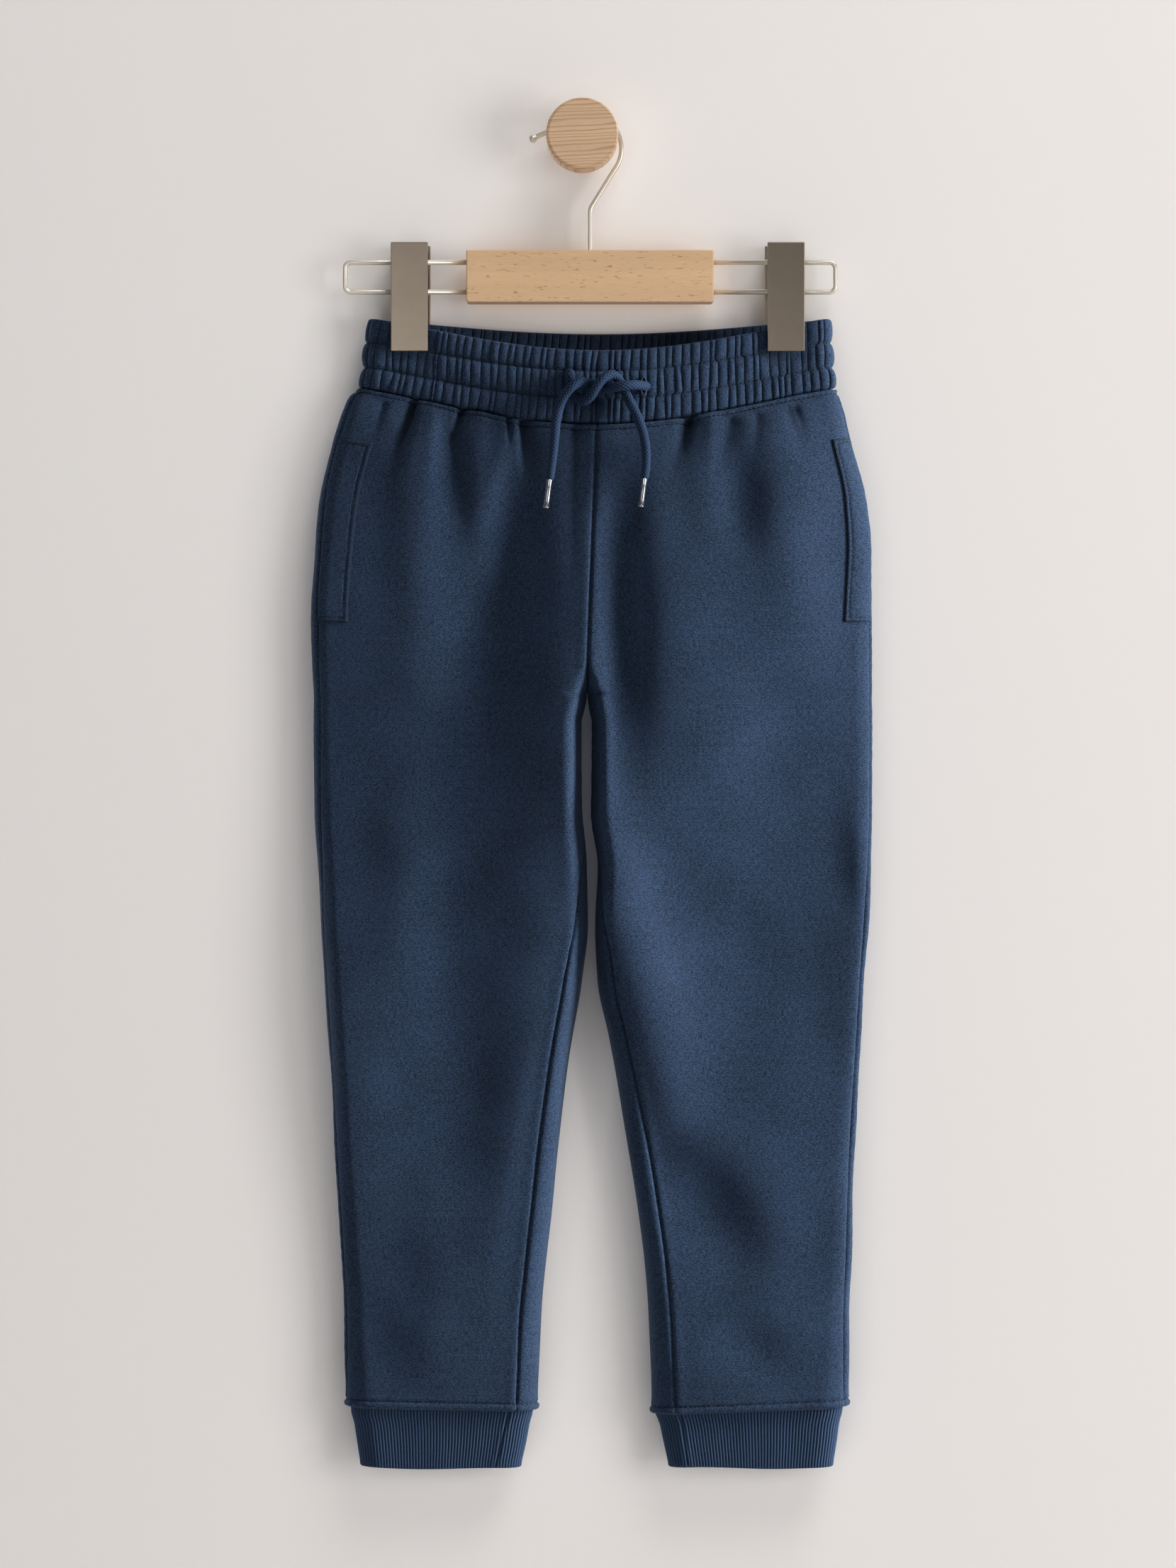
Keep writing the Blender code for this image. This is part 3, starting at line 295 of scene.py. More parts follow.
# --- The cuffs ---
CUFF_TOP, CUFF_FOOT = -712.0, -752.0
CUFF_ROLL = 1.2  # the height of the folded foot
CUFF_LEVELS = 16
CUFF_MIDDLE = -18.0  # y
CUFF_CUT = (0.208, 0.045)
RIB_PLACES = (0.0, 0.12, 0.3, 0.5, 0.7, 0.88)
CUFF_SEAM = {RIGHT: (-41.2, -719.4, -49.2, -752.0), LEFT: (55.6, -721.4, 60.0, -752.6)}

# --- The pocket welts: level, inner edge's distance from the side edge, right and left. ---
WELT_ROWS = ((-170, 22.6, 11.0), (-205, 22.0, 12.6), (-240, 21.4, 14.4), (-274, 21.0, 16.0))
WELT_TOP, WELT_FOOT = -170.0, -274.0
WELT_FROM_SEAM = 0.4
WELT_STITCH = 2.6  # from its edge
WELT_PROUD = 0.95  # how far it stands out from its panel
WELT_PINCH = 0.38  # how deep its stitches pull it in
WELT_CLOSE = (0.0, 0.25, 0.6, 1.1, 1.7, 2.2, 2.6, 3.0, 3.5, 4.2)  # rows beside an edge
WELT_LEVELS, WELT_COLUMNS = 55, 31

# --- The drawcord: two free ends crossed once, each point in order from its buttonhole. ---
CORD_RIGHT = (
    (32.4, -33.4, -141.0), (28.4, -37.8, -141.2), (23.4, -39.6, -141.7), (18.2, -38.4, -142.4),
    (12.8, -35.0, -142.8), (8.0, -33.3, -141.6), (3.4, -34.8, -139.8), (-1.4, -38.2, -139.8),
    (-6.0, -39.6, -142.6), (-10.0, -38.0, -147.2), (-12.8, -36.4, -153.4), (-14.4, -36.8, -160.2),
    (-15.2, -37.8, -167.6), (-15.9, -39.0, -176.2), (-17.0, -40.2, -185.6), (-18.2, -41.2, -195.0),
)  # fmt: skip
CORD_LEFT = (
    (-6.6, -33.2, -135.2), (-6.4, -33.3, -141.0), (-4.2, -33.6, -146.8), (0.2, -34.6, -149.8),
    (4.6, -37.2, -147.6), (8.2, -39.3, -142.2), (12.2, -39.3, -137.4), (17.0, -36.4, -135.4),
    (20.8, -33.3, -138.2), (23.8, -33.2, -144.2), (27.6, -34.6, -151.8), (31.2, -36.4, -159.4),
    (34.0, -37.8, -167.4), (35.8, -39.0, -176.4), (36.0, -40.2, -185.6), (35.0, -41.2, -194.4),
)  # fmt: skip
CORDS = {"right": CORD_RIGHT, "left": CORD_LEFT}
CORD_ROOTS = {"right": (37.4, -26.6, -141.2), "left": (-7.4, -26.6, -133.4)}  # in the buttonhole
CORD_STEPS, CORD_SIDES = 22, 64  # stations between two points of a route, and points round it
STRANDS = 8  # of the braid, each way round
BUTTONHOLES = {"right": (34.6, -141.2), "left": (-7.2, -136.6)}  # x, z
BUTTONHOLE_TALL, BUTTONHOLE_WIDE = 9.6, 3.0

# --- The hanger and the knob ---
HANGER_Y = -15.0
FRAME_ENDS = {RIGHT: -134.5, LEFT: 143.7}
FRAME_Z = (-86.6, -69.8)
FRAME_CORNER = 3.4
WIRE_IN_BLOCK = 12.0
HOOK_X = 4.5
HOOK_BEND = (2.4, -5.2)  # centre of the bend, x and z
HOOK_RADIUS = 20.0
HOOK_FROM, HOOK_TO = -36.0, 135.0  # degrees
HOOK_NECK = ((4.5, -58.0), (4.5, -48.0), (4.5, -41.4), (4.9, -39.2), (5.9, -37.2))
HOOK_LIP = ((-15.8, 6.4), (-20.0, 4.2), (-24.4, 2.2), (-28.0, 0.4))
HOOK_BALL, BALL_RINGS = 2.4, 17
CLIP_X = {RIGHT: -97.6, LEFT: 115.2}
CLIP_LOW = -121.0
CLIP_WIDE = 21.0
CLIP_GRIP = 9.2  # from the hanger's plane to a plate
KNOB_FRONT, KNOB_NECK = 40.0, 22.0
KNOB_RADIUS = 20.35
KNOB_STEM = 12.37
KNOB_RIM = (  # the eased front rim: in from the full radius, back from the front
    (6.0, 0.0), (1.65, 0.05), (1.4, 0.4), (1.15, 0.2), (0.55, 0.6), (0.15, 1.3), (0.0, 2.4),
)  # fmt: skip

# --- The finishes, in millimetres ---
KNIT_WALE, KNIT_COURSE = 0.92, 0.78  # the width and the height of a stitch of the fleece
SLANT = 1.2  # from one of the fleece's slanting lines to the next
RIB_COURSE = 0.85  # the height of a stitch of the rib
KNOB_RING = 2.35  # from one growth line to the next
PER_METRE = 1000.0

# --- The stage, in metres ---
GARMENT_MIDDLE = (0.0, -0.03, -0.38)
LIGHT_DISTANCE = 3.0
LIGHT_COLOUR = (1.0, 0.985, 0.965)
ROOM_COLOUR = (1.0, 0.975, 0.95, 1.0)
WALL_Y = 0.0006  # just behind the knob's stem
WALL_HALF, WALL_FOOT, WALL_TOP, FLOOR_FRONT = 2.6, -1.5, 1.8, -4.2
CAMERA_PLACE = (0.0033, -2.645, -0.3655)
SENSOR = 36.0  # millimetres
CLOTH_NAMES = ("_cloth", "_rib", "_braid")  # how the names of the pieces end
HARD_NAMES = ("_plate", "_wood", "_wire", "_metal")


def unit(vectors):
    """The vectors, each made as long as 1."""
    return vectors / np.maximum(np.linalg.norm(vectors, axis=-1, keepdims=True), 1e-9)


def lengths(lines):
    """How far along its line each point is, for one line of points or many."""
    steps = np.linalg.norm(np.diff(lines, axis=-2), axis=-1)
    start = np.zeros((*steps.shape[:-1], 1))
    return np.concatenate([start, np.cumsum(steps, axis=-1)], axis=-1)


def resampled(lines, along, wanted):
    """Each line's points at the lengths wanted along it."""
    rows = [
        np.stack([np.interp(w, a, line[:, i]) for i in range(line.shape[1])], axis=1)
        for line, a, w in zip(lines, along, wanted)
    ]
    return np.array(rows)


def cubic(t, first, slope, second, next_slope):
    """The cubic from first to second, as t goes from 0 to 1, with these slopes at its ends."""
    return (
        (2 * t**3 - 3 * t**2 + 1) * first
        + (t**3 - 2 * t**2 + t) * slope
        + (3 * t**2 - 2 * t**3) * second
        + (t**3 - t**2) * next_slope
    )


def smooth_columns(table, levels):
    """The columns of a table at many levels: the monotone cubic through its rows, whose slope at a
    row is the harmonic mean of the slopes on both sides, so that no row shows as a kink."""
    rows = np.array(table, float)
    rows = rows[np.argsort(rows[:, 0])]
    x, y = rows[:, 0], rows[:, 1:]
    step = np.diff(x)[:, None]
    rise = np.diff(y, axis=0) / step
    both = rise[:-1] * rise[1:]
    total = np.where(both > 0, rise[:-1] + rise[1:], 1.0)
    slope = np.concatenate([rise[:1], np.where(both > 0, 2 * both / total, 0.0), rise[-1:]])
    i = np.clip(np.searchsorted(x, levels, side="right") - 1, 0, len(x) - 2)
    t = clamped((levels - x[i]) / step[i, 0])[:, None]
    return cubic(t, y[i], step[i] * slope[i], y[i + 1], step[i] * slope[i + 1])


def sections(table, levels):
    """A table of sections at many levels, as one column of numbers under each name."""
    values = smooth_columns(table, levels)
    rows = {name: values[:, i : i + 1] for i, name in enumerate(SECTION_COLUMNS[1:])}
    return {"level": levels[:, None], **rows}


def rounded(share):
    """A quarter circle's height: 0 at the edge, 1 from one radius in."""
    return np.sqrt(1.0 - (1.0 - clamped(share)) ** 2)


def sag(rows, x):
    """1 midway between the side edges, 0 at them."""
    across = (x - rows["right_out"]) / (rows["left_out"] - rows["right_out"])
    return np.sin(math.pi * clamped(across)) ** SAG_POWER


def bell(distance, width):
    """A bell curve: 1 where distance is 0, and about a third of that one width away."""
    return np.exp(-((distance / width) ** 2))


def clamped(value):
    """A number kept between 0 and 1."""
    return np.clip(value, 0.0, 1.0)


def line_places(x, z, x0, z0, x1, z1):
    """The share of the way along a line, and the distance from it towards +X."""
    long = math.hypot(x1 - x0, z1 - z0)
    along = ((x - x0) * (x1 - x0) + (z - z0) * (z1 - z0)) / long**2
    return along, ((x - x0) * (z0 - z1) + (z - z0) * (x1 - x0)) / long


def fold_places(table, x, z):
    """For each row of a table of folds: the share of the way along its line, the distance from it
    in widths of the flank on that side, and its depth."""
    for *ends, to_right, to_left, depth, widening in table:
        along, across = line_places(x, z, *ends)
        inside = clamped(along)
        width = np.where(across < 0.0, to_right, to_left) * (1.0 + (widening - 1.0) * inside)
        yield along, across / width, depth


def folds(table, x, z):
    """The inward depth of the folds: a bell across the line, fading at both its ends."""
    total = np.zeros_like(x)
    for along, across, depth in fold_places(table, x, z):
        inside = clamped(along)
        total += depth * np.sin(math.pi * inside) ** FOLD_FADE * bell(across, 1.0)
    return total


def tucks(table, x, z):
    """The inward depth of the tucks: full at the upper end and fading down the line, with a
    pointed bottom."""
    total = np.zeros_like(x)
    for along, across, depth in fold_places(table, x, z):
        inside = clamped(along)
        fade = (1.0 - inside) ** 1.3 * clamped(1.0 + along / 0.12)
        total += depth * fade * np.exp(-(np.abs(across) ** 1.5))
    return total


def ripples(x, z, size, seed, count=10):
    """Uneven waves of about unit height: a sum of sines, each with its own direction and phase."""
    draw = np.random.default_rng(seed)
    total = np.zeros(np.broadcast(x, z).shape)
    for angle, phase, scale in draw.uniform((0, 0, 0.6), (math.tau, math.tau, 1.7), (count, 3)):
        way = x * math.cos(angle) + z * math.sin(angle)
        total += np.sin(way * math.tau / (size * scale) + phase)
    return total / math.sqrt(count)


def outlines(rows, inner, outer, opened):
    """Flat tubes' outlines: from the inner edge along the front to the outer edge, and back along
    the back. The depth is the half thickness times a quarter circle at each edge, and the folds
    come off it. opened, from 0 to 1, says how far the inner edge is cut away."""
    share = (1.0 - np.cos(np.linspace(0.0, math.pi, FINE + 1))) / 2
    x = inner + (outer - inner) * share
    full = np.sin(math.pi / 2 * clamped(np.abs(outer - x) / FULL_REACH))
    below = clamped((FOLDS_FROM - rows["level"]) / FULL_OVER)
    centre_share = sag(rows, x) + (full - sag(rows, x)) * below
    depth = rows["side_depth"] + (rows["depth"] - rows["side_depth"]) * centre_share
    edge = EDGE_ROUND * rows["side_depth"]
    round_share = rounded(np.abs(outer - x) / edge) * rounded(np.abs(x - inner) / edge + opened)
    depth = depth * round_share
    soft = clamped((FOLDS_FROM - rows["level"]) / FOLDS_OVER) * round_share
    soft = soft * clamped((rows["level"] - FOLDS_TO) / FOLDS_LAST)
    front_z = rows["level"] - rows["front_dip"] * sag(rows, x)
    back_z = rows["level"] - rows["back_dip"] * sag(rows, x)
    front_y = rows["middle"] - depth + soft * folds(FRONT_FOLDS, x, front_z)
    back_y = rows["middle"] + depth - soft * folds(BACK_FOLDS, x, back_z)
    front = np.stack([x, front_y, front_z], axis=-1)
    back = np.stack([x, back_y, back_z], axis=-1)[:, ::-1]
    return np.concatenate([front, back[:, 1:]], axis=1)


def leg_outlines(side, levels):
    """Half of the trousers at many levels, and which of those outlines are closed."""
    rows = sections(BODY_SECTIONS, levels)
    name = SIDES[side]
    closed = levels <= CROTCH
    centre = (rows["right_in"] + rows["left_in"]) / 2
    inner = np.where(closed[:, None], rows[name + "_in"], centre)
    outer = rows[name + "_out"]
    opened = clamped((levels[:, None] - CROTCH) / CROTCH_RISE)
    points = outlines(rows, inner, outer, opened)
    inner_rise, outer_rise = HEM_TILT[side]
    share = (points[:, :, 0] - inner) / (outer - inner)
    drop = clamped((HEM_TILT_FROM - levels[:, None]) / (HEM_TILT_FROM - HEM))
    points[:, :, 2] += drop * (inner_rise + (outer_rise - inner_rise) * share)
    return points, closed


def front_lengths(outline_points, along, distance):
    """How far along each outline a place is that lies at an x distance from its inner edge."""
    return np.array([
        np.interp(d, np.abs(line[: FINE + 1, 0] - line[0, 0]), a[: FINE + 1])
        for line, a, d in zip(outline_points, along, distance)
    ])  # fmt: skip


def seam_lengths(side, levels, points, along):
    """Where the inseam and the side seam cross each outline, both on its front."""
    places = smooth_columns(SEAM_PLACES, levels)
    first = 0 if side == RIGHT else 1
    width = np.abs(points[:, FINE, 0] - points[:, 0, 0])
    inseam = front_lengths(points, along, places[:, first])
    return inseam, front_lengths(points, along, width - places[:, first + 2])


def spread(first, last, count, close):
    """Places from first to last, row by row: close together near both ends, even between."""
    close = np.array(close)
    middle = count - 2 * len(close)
    share = np.linspace(0.0, 1.0, middle + 2)[1:-1]
    start, end = first[:, None] + close, last[:, None] - close[::-1]
    return np.concatenate([start, start[:, -1:] + (end[:, :1] - start[:, -1:]) * share, end], axis=1)


def ways_out(grid, side, before=None, after=None):
    """The unit normal of a leg's grid of points, whose rows go down and columns outwards."""
    if before is None:
        across = np.gradient(grid, axis=1)
    else:
        padded = np.concatenate([before[:, None], grid, after[:, None]], axis=1)
        across = padded[:, 2:] - padded[:, :-2]
    return unit(np.cross(np.gradient(grid, axis=0), across)) * side


def turned_edge(distance, width, height):
    """The height over a panel of a turned and stitched edge: pulled in at the edge itself, a round
    roll to the stitches at width, pinched there, then down to the panel."""
    share = clamped(distance / width)
    roll = height * np.sin(math.pi * share) ** 0.8 + 0.35 * height * share
    beyond = 0.35 * height * bell(distance - width, 3.0) * (distance > width)
    pinch = STITCH_PINCH * bell(distance - width, PINCH_WIDE)
    tuck = SEAM_TUCK * bell(distance, 0.75)
    return np.where(distance < width, roll, beyond) - pinch - tuck


def seam_edge(distance, ridge):
    """The height over a panel of a plain seam's edge: turned in at the seam, with the seam's
    allowance under the cloth beside it as a low ridge."""
    tuck = SEAM_TUCK * bell(distance, 0.8)
    return ridge * bell(distance - RIDGE_FROM, RIDGE_WIDE) - tuck


def cloth_relief(face, x, z):
    """What the tucks, the creases and the small unevenness of the cloth add to a panel, outwards."""
    below = clamped((BAND_FOOT - z - 14.0) / 60.0)
    height, size, seed = UNEVEN[face]
    uneven = height * ripples(x, z * 0.5, size, seed) * (0.35 + 0.65 * below)
    return uneven - tucks(TUCKS[face], x, z) - folds(CREASES[face], x, z)


def shaped_panel(face, points, normals, across):
    """One panel of a leg's plain surface, with its turned edges, seams, tucks, creases and puckers
    as heights along the normals. across is how far each point is along its row."""
    down = lengths(points.swapaxes(0, 1)).T
    up = down[-1:] - down
    from_first = across - across[:, :1]
    from_last = across[:, -1:] - across
    from_seam = np.minimum(from_first, from_last)
    side_seam, inseam = (from_last, from_first)[:: 1 if face == "front" else -1]
    x, z = points[:, :, 0], points[:, :, 2]
    height = turned_edge(down, WAIST_ROLL, WAIST_PROUD) + turned_edge(up, HEM_ROLL, HEM_PROUD)
    past_rolls = clamped(np.minimum(down - WAIST_ROLL, up - HEM_ROLL) / 2.0)
    seams = seam_edge(inseam, SEAM_RIDGE) + SIDE_SEAM_SHARE * seam_edge(side_seam, SEAM_RIDGE)
    height += seams * (0.35 + 0.65 * past_rolls)
    near_waist = bell(down - WAIST_ROLL, 1.6)
    near_hem = bell(up - HEM_ROLL, 1.8)
    height += 0.09 * (near_waist + near_hem) * ripples(x, z * 0.2, 4.2, 21, 5)
    free = clamped(down / 1.6) * clamped(up / 5.0)
    pucker = 0.10 * bell(from_seam, 7.0) * np.sin(z * 0.62 + 2.0 * np.sin(z * 0.13))
    relief = cloth_relief(face, x, z) * (0.25 + 0.75 * rounded(from_seam / 6.0))
    height += (relief + pucker) * free
    middle = points.shape[1] // 2
    # Painted shade: the relief below paints the fleece darker the deeper a tuck is there.
    tuck_shade = clamped(tucks(TUCKS[face], x, z) * free / TUCK_SHADE_DEPTH)
    return {
        "points": points + normals * height[:, :, None],
        "relief": 1.0 - 1.2 * tuck_shade,
        "out": normals,
        "u": across - across[:, middle : middle + 1],
        "v": np.broadcast_to(down[:, middle : middle + 1], down.shape),
        "down": down,
        "up": up,
    }


@functools.cache
def leg_surface(side):
    """One leg's cloth. For its front and its back, a dict of grids with a row for each level and
    a column for each place from seam to seam: points, normals out, u and v along the cloth."""
    close, hem = np.array(CLOSE), np.array(HEM_CLOSE)
    middle = np.linspace(BAND_FOOT - close[-1], HEM + hem[-1], LEG_ROWS - 2 * len(close) + 2)
    levels = np.concatenate([BAND_FOOT - close, middle[1:-1], HEM + hem[::-1]])
    lines, closed = leg_outlines(side, levels)
    along = lengths(lines)
    inseam, side_seam = seam_lengths(side, levels, lines, along)
    total = along[:, -1]
    end = total + np.where(closed, inseam, 0.0)
    front = spread(inseam, side_seam, PANEL_COLUMNS["front"], SEAM_CLOSE)
    back = spread(side_seam, end, PANEL_COLUMNS["back"], SEAM_CLOSE)
    everywhere = np.concatenate([front, back[:, 1:]], axis=1)
    wrap = np.where(closed, total, total + 1.0)[:, None]
    grid = resampled(lines, along, np.mod(everywhere, wrap))
    shut = closed[:, None]
    before = np.where(shut, grid[:, -2], 2 * grid[:, 0] - grid[:, 1])
    after = np.where(shut, grid[:, 1], 2 * grid[:, -1] - grid[:, -2])
    out = ways_out(grid, side, before, after)
    for column in (0, -1):
        out[~closed, column, 0] = 0.0
    out = unit(out)
    cut = PANEL_COLUMNS["front"]
    return {
        "front": shaped_panel("front", grid[:, :cut], out[:, :cut], front),
        "back": shaped_panel("back", grid[:, cut - 1 :], out[:, cut - 1 :], back),
    }


# --- Meshes ---


def numbered(rows, columns, first=0):
    """The numbers of a grid's points, row by row."""
    return first + np.arange(rows * columns).reshape(rows, columns)


def circle_angles(count):
    """Angles that stand evenly round a circle."""
    return np.linspace(0.0, math.tau, count, endpoint=False)


def quads_of(index, down=False, across=False):
    """The faces of a grid of point numbers, which may close on itself down or across it."""
    if down:
        index = np.concatenate([index, index[:1]])
    if across:
        index = np.concatenate([index, index[:, :1]], axis=1)
    corners = [index[:-1, :-1], index[:-1, 1:], index[1:, 1:], index[1:, :-1]]
    return np.stack(corners, axis=-1).reshape(-1, 4)


def new_mesh(name, points, faces, corner_uv=None, relief=None):
    """A closed mesh from points in millimetres, faces outwards, with its cloth map in metres."""
    mesh = bpy.data.meshes.new(name)
    mesh.from_pydata((points * MM).tolist(), [], [face for part in faces for face in part.tolist()])
    if corner_uv is not None:
        layer = mesh.uv_layers.new(name="cloth")
        layer.data.foreach_set("uv", (corner_uv * MM).astype(np.float32).ravel())
    if relief is not None:
        layer = mesh.attributes.new("relief", "FLOAT", "POINT")
        layer.data.foreach_set("value", relief.astype(np.float32).ravel())
    work = bmesh.new()
    work.from_mesh(mesh)
    bmesh.ops.recalc_face_normals(work, faces=work.faces)
    work.to_mesh(mesh)
    work.free()
    mesh.shade_smooth()
    return mesh


def panel_mesh(name, grid, inner, every, relief):
    """A sheet's wall: the outer grid, a plain inner grid with a point for each few of the outer,
    and four rims, in which each outer edge meets the inner point of its group."""
    outer = grid["points"]
    index = numbered(*outer.shape[:2])
    plain = numbered(*inner.shape[:2], index.size)
    quads = np.concatenate([quads_of(index), quads_of(plain)])
    fans = []
    for rim, near in (
        (index[0], plain[0]), (index[-1], plain[-1]), (index[:, 0], plain[:, 0]),
        (index[:, -1], plain[:, -1]),
    ):  # fmt: skip
        group = np.repeat(near[:-1], every)
        fans.append(np.stack([rim[:-1], rim[1:], group], axis=1))
        fans.append(np.stack([rim[every::every], near[1:], near[:-1]], axis=1))
    fans = np.concatenate(fans)
    points = np.concatenate([outer.reshape(-1, 3), inner.reshape(-1, 3)])
    flat = np.stack([grid["u"], grid["v"]], axis=-1)
    places = np.concatenate([flat.reshape(-1, 2), flat[::every, ::every].reshape(-1, 2)])
    corner_uv = np.concatenate([places[quads].reshape(-1, 2), places[fans].reshape(-1, 2)])
    relief = np.concatenate([relief.ravel(), relief[::every, ::every].ravel()])
    return new_mesh(name, points, [quads, fans], corner_uv, relief)


def loop_mesh(name, grid, fractions, cut, relief):
    """A tube's wall, closed both ways: rows go over its outside and its inside, and columns go
    round it, at fractions of the cut's length. The map starts again after the last of each."""
    quads = quads_of(numbered(*grid.shape[:2]), down=True, across=True)
    u = np.concatenate([fractions, fractions[:, :1] + 1.0], axis=1) * (cut[0] / MM)
    v = lengths(grid[:, :1].swapaxes(0, 1)).T
    u, v = np.concatenate([u, u[:1]]), np.concatenate([v, v[-1:] + THROUGH])
    flat = np.stack(np.broadcast_arrays(u, v), axis=-1)
    corners = [flat[:-1, :-1], flat[:-1, 1:], flat[1:, 1:], flat[1:, :-1]]
    corner_uv = np.stack(corners, axis=2).reshape(-1, 2)
    return new_mesh(name, grid.reshape(-1, 3), [quads], corner_uv, relief)


def swept(name, line, radii, sides, relief=None):
    """A closed tube: at each station of a line a ring whose radius may differ round it, turned as
    little as possible from the ring before, and a point at each end."""
    line = np.asarray(line, float)
    tangent = unit(np.gradient(line, axis=0))
    across = np.cross(tangent[0], (0.0, 1.0, 0.0))
    across = across if np.linalg.norm(across) > 0.2 else np.cross(tangent[0], (0.0, 0.0, 1.0))
    frames = []
    for way in tangent:
        across = across - way * np.dot(across, way)
        across = across / np.linalg.norm(across)
        frames.append((across, np.cross(way, across)))
    frames = np.array(frames)
    angle = circle_angles(sides)
    radii = np.broadcast_to(np.asarray(radii, float).reshape(len(line), -1), (len(line), sides))
    ring = radii[..., None] * (
        np.cos(angle)[None, :, None] * frames[:, None, 0]
        + np.sin(angle)[None, :, None] * frames[:, None, 1]
    )
    points = (line[:, None] + ring).reshape(-1, 3)
    index = numbered(len(line), sides)
    quads = quads_of(index, across=True)
    ends = len(points) + np.arange(2)
    fans = [
        np.stack([np.full(sides, end), row, np.roll(row, -1)], axis=1)
        for end, row in zip(ends, (index[0], index[-1]))
    ]
    points = np.concatenate([points, line[[0, -1]]])
    way_along = np.repeat(lengths(line), sides).reshape(len(line), sides)
    way_round = np.broadcast_to(angle * radii.mean(), (len(line), sides))
    places = np.stack([way_round, way_along], axis=-1).reshape(-1, 2)
    places = np.concatenate([places, places[[0, -1]]])
    step = angle[1] * radii.mean()
    quad_uv = places[quads]
    quad_uv[:, 1, 0], quad_uv[:, 2, 0] = quad_uv[:, 0, 0] + step, quad_uv[:, 3, 0] + step
    fans = np.concatenate(fans)
    corner_uv = np.concatenate([quad_uv.reshape(-1, 2), places[fans].reshape(-1, 2)])
    if relief is not None:
        relief = np.concatenate([relief.ravel(), [0.5, 0.5]])
    return new_mesh(name, points, [quads, fans], corner_uv, relief)


def turned(name, profile, sides, place, way):
    """A piece turned on the lathe: a profile of radius and height carried round an axis along way,
    and closed at both its ends."""
    profile = np.array(profile, float)
    across = unit(np.cross(way, (0.3, 0.1, 1.0)))
    angle = circle_angles(sides)[None, :, None]
    ring = np.cos(angle) * across + np.sin(angle) * np.cross(way, across)
    centre = np.array(place, float) + profile[:, None, 1:2] * np.array(way, float)
    points = (centre + profile[:, None, 0:1] * ring).reshape(-1, 3)
    index = numbered(len(profile), sides)
    return new_mesh(name, points, [quads_of(index, across=True), index[:1, ::-1], index[-1:]])


def prism(name, outline_xz, low_y, high_y):
    """A flat outline in x and z, carried from low_y to high_y along the Y axis."""
    flat = np.array(outline_xz, float)
    count = len(flat)
    rings = [np.stack([flat[:, 0], np.full(count, y), flat[:, 1]], axis=1) for y in (low_y, high_y)]
    index = numbered(2, count)
    faces = [quads_of(index, across=True), index[:1, ::-1], index[1:]]
    return new_mesh(name, np.concatenate(rings), faces)


def add_piece(name, mesh, finish, nodes=()):
    """Puts a finished piece in the scene, on the one body, in the place of its plain solids."""
    piece = bpy.data.objects.new(name, mesh)
    bpy.context.scene.collection.objects.link(piece)
    piece.data.materials.append(finish)
    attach(piece, "root")
    if nodes:
        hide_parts(*nodes)
    return piece


def bevelled(piece, width, segments=3):
    """Rounds a hard piece's edges, and keeps its flat faces flat."""
    edges = piece.modifiers.new("edges", "BEVEL")
    edges.width = width * MM
    edges.segments = segments
    edges.limit_method = "ANGLE"
    edges.angle_limit = math.radians(30)
    edges.harden_normals = True


# --- Stitches ---


def stitch_rows(name, rows, pitch, finish, wide=0.62, seed=5):
    """Lockstitches along rows of (points, normals out): each is a short thread with five sides,
    which rises from the cloth, lies on it and dips back, all joined into one piece."""
    draw = np.random.default_rng(seed)
    share = np.array([-0.5, -0.36, 0.0, 0.36, 0.5])
    thick = np.array([0.25, 0.9, 1.0, 0.9, 0.25]) * wide / 2
    rise = np.array([-0.5, 0.02, 0.12, 0.02, -0.5])
    angle = circle_angles(5)
    round_it = np.stack([np.cos(angle), np.sin(angle)], axis=1)
    points = []
    for line, out in rows:
        along = lengths(line)
        count = max(int(along[-1] / pitch), 2)
        places = (np.arange(count) + 0.5) * along[-1] / count
        centre = resampled([line], [along], [places])[0]
        up = unit(resampled([out], [along], [places])[0])
        ahead = resampled([line], [along], [places + 0.4])[0] - centre
        way = unit(ahead - up * np.sum(ahead * up, axis=1, keepdims=True))
        side = np.cross(up, way)
        lean = draw.normal(0.0, 0.07, count)[:, None]
        way, side = unit(way + side * lean), unit(side - way * lean)
        long = (pitch * draw.uniform(0.70, 0.80, count))[:, None, None, None]
        body = (
            centre[:, None, None]
            + way[:, None, None] * share[None, :, None, None] * long
            + up[:, None, None] * rise[None, :, None, None]
            + side[:, None, None] * (thick[:, None] * round_it[:, 0])[None, :, :, None]
            + up[:, None, None] * (thick[:, None] * round_it[:, 1])[None, :, :, None]
        )
        points.append(body.reshape(-1, 25, 3))
    points = np.concatenate(points)
    base = 25 * np.arange(len(points))[:, None, None]
    index = numbered(5, 5)
    quads = (base + quads_of(index, across=True)).reshape(-1, 4)
    caps = (base + np.stack([index[0, ::-1], index[-1]])).reshape(-1, 5)
    return add_piece(name, new_mesh(name, points.reshape(-1, 3), [quads, caps]), finish)


def across_columns(grid, distance, wanted):
    """A line across a grid, where each column's distance from an edge is the one wanted."""
    order = slice(None) if distance[0, 0] < distance[-1, 0] else slice(None, None, -1)
    line, out = [], []
    for column in range(grid["points"].shape[1]):
        along = distance[order, column]
        line.append([np.interp(wanted, along, grid["points"][order, column, i]) for i in range(3)])
        out.append([np.interp(wanted, along, grid["out"][order, column, i]) for i in range(3)])
    return np.array(line), np.array(out)


# --- Materials ---


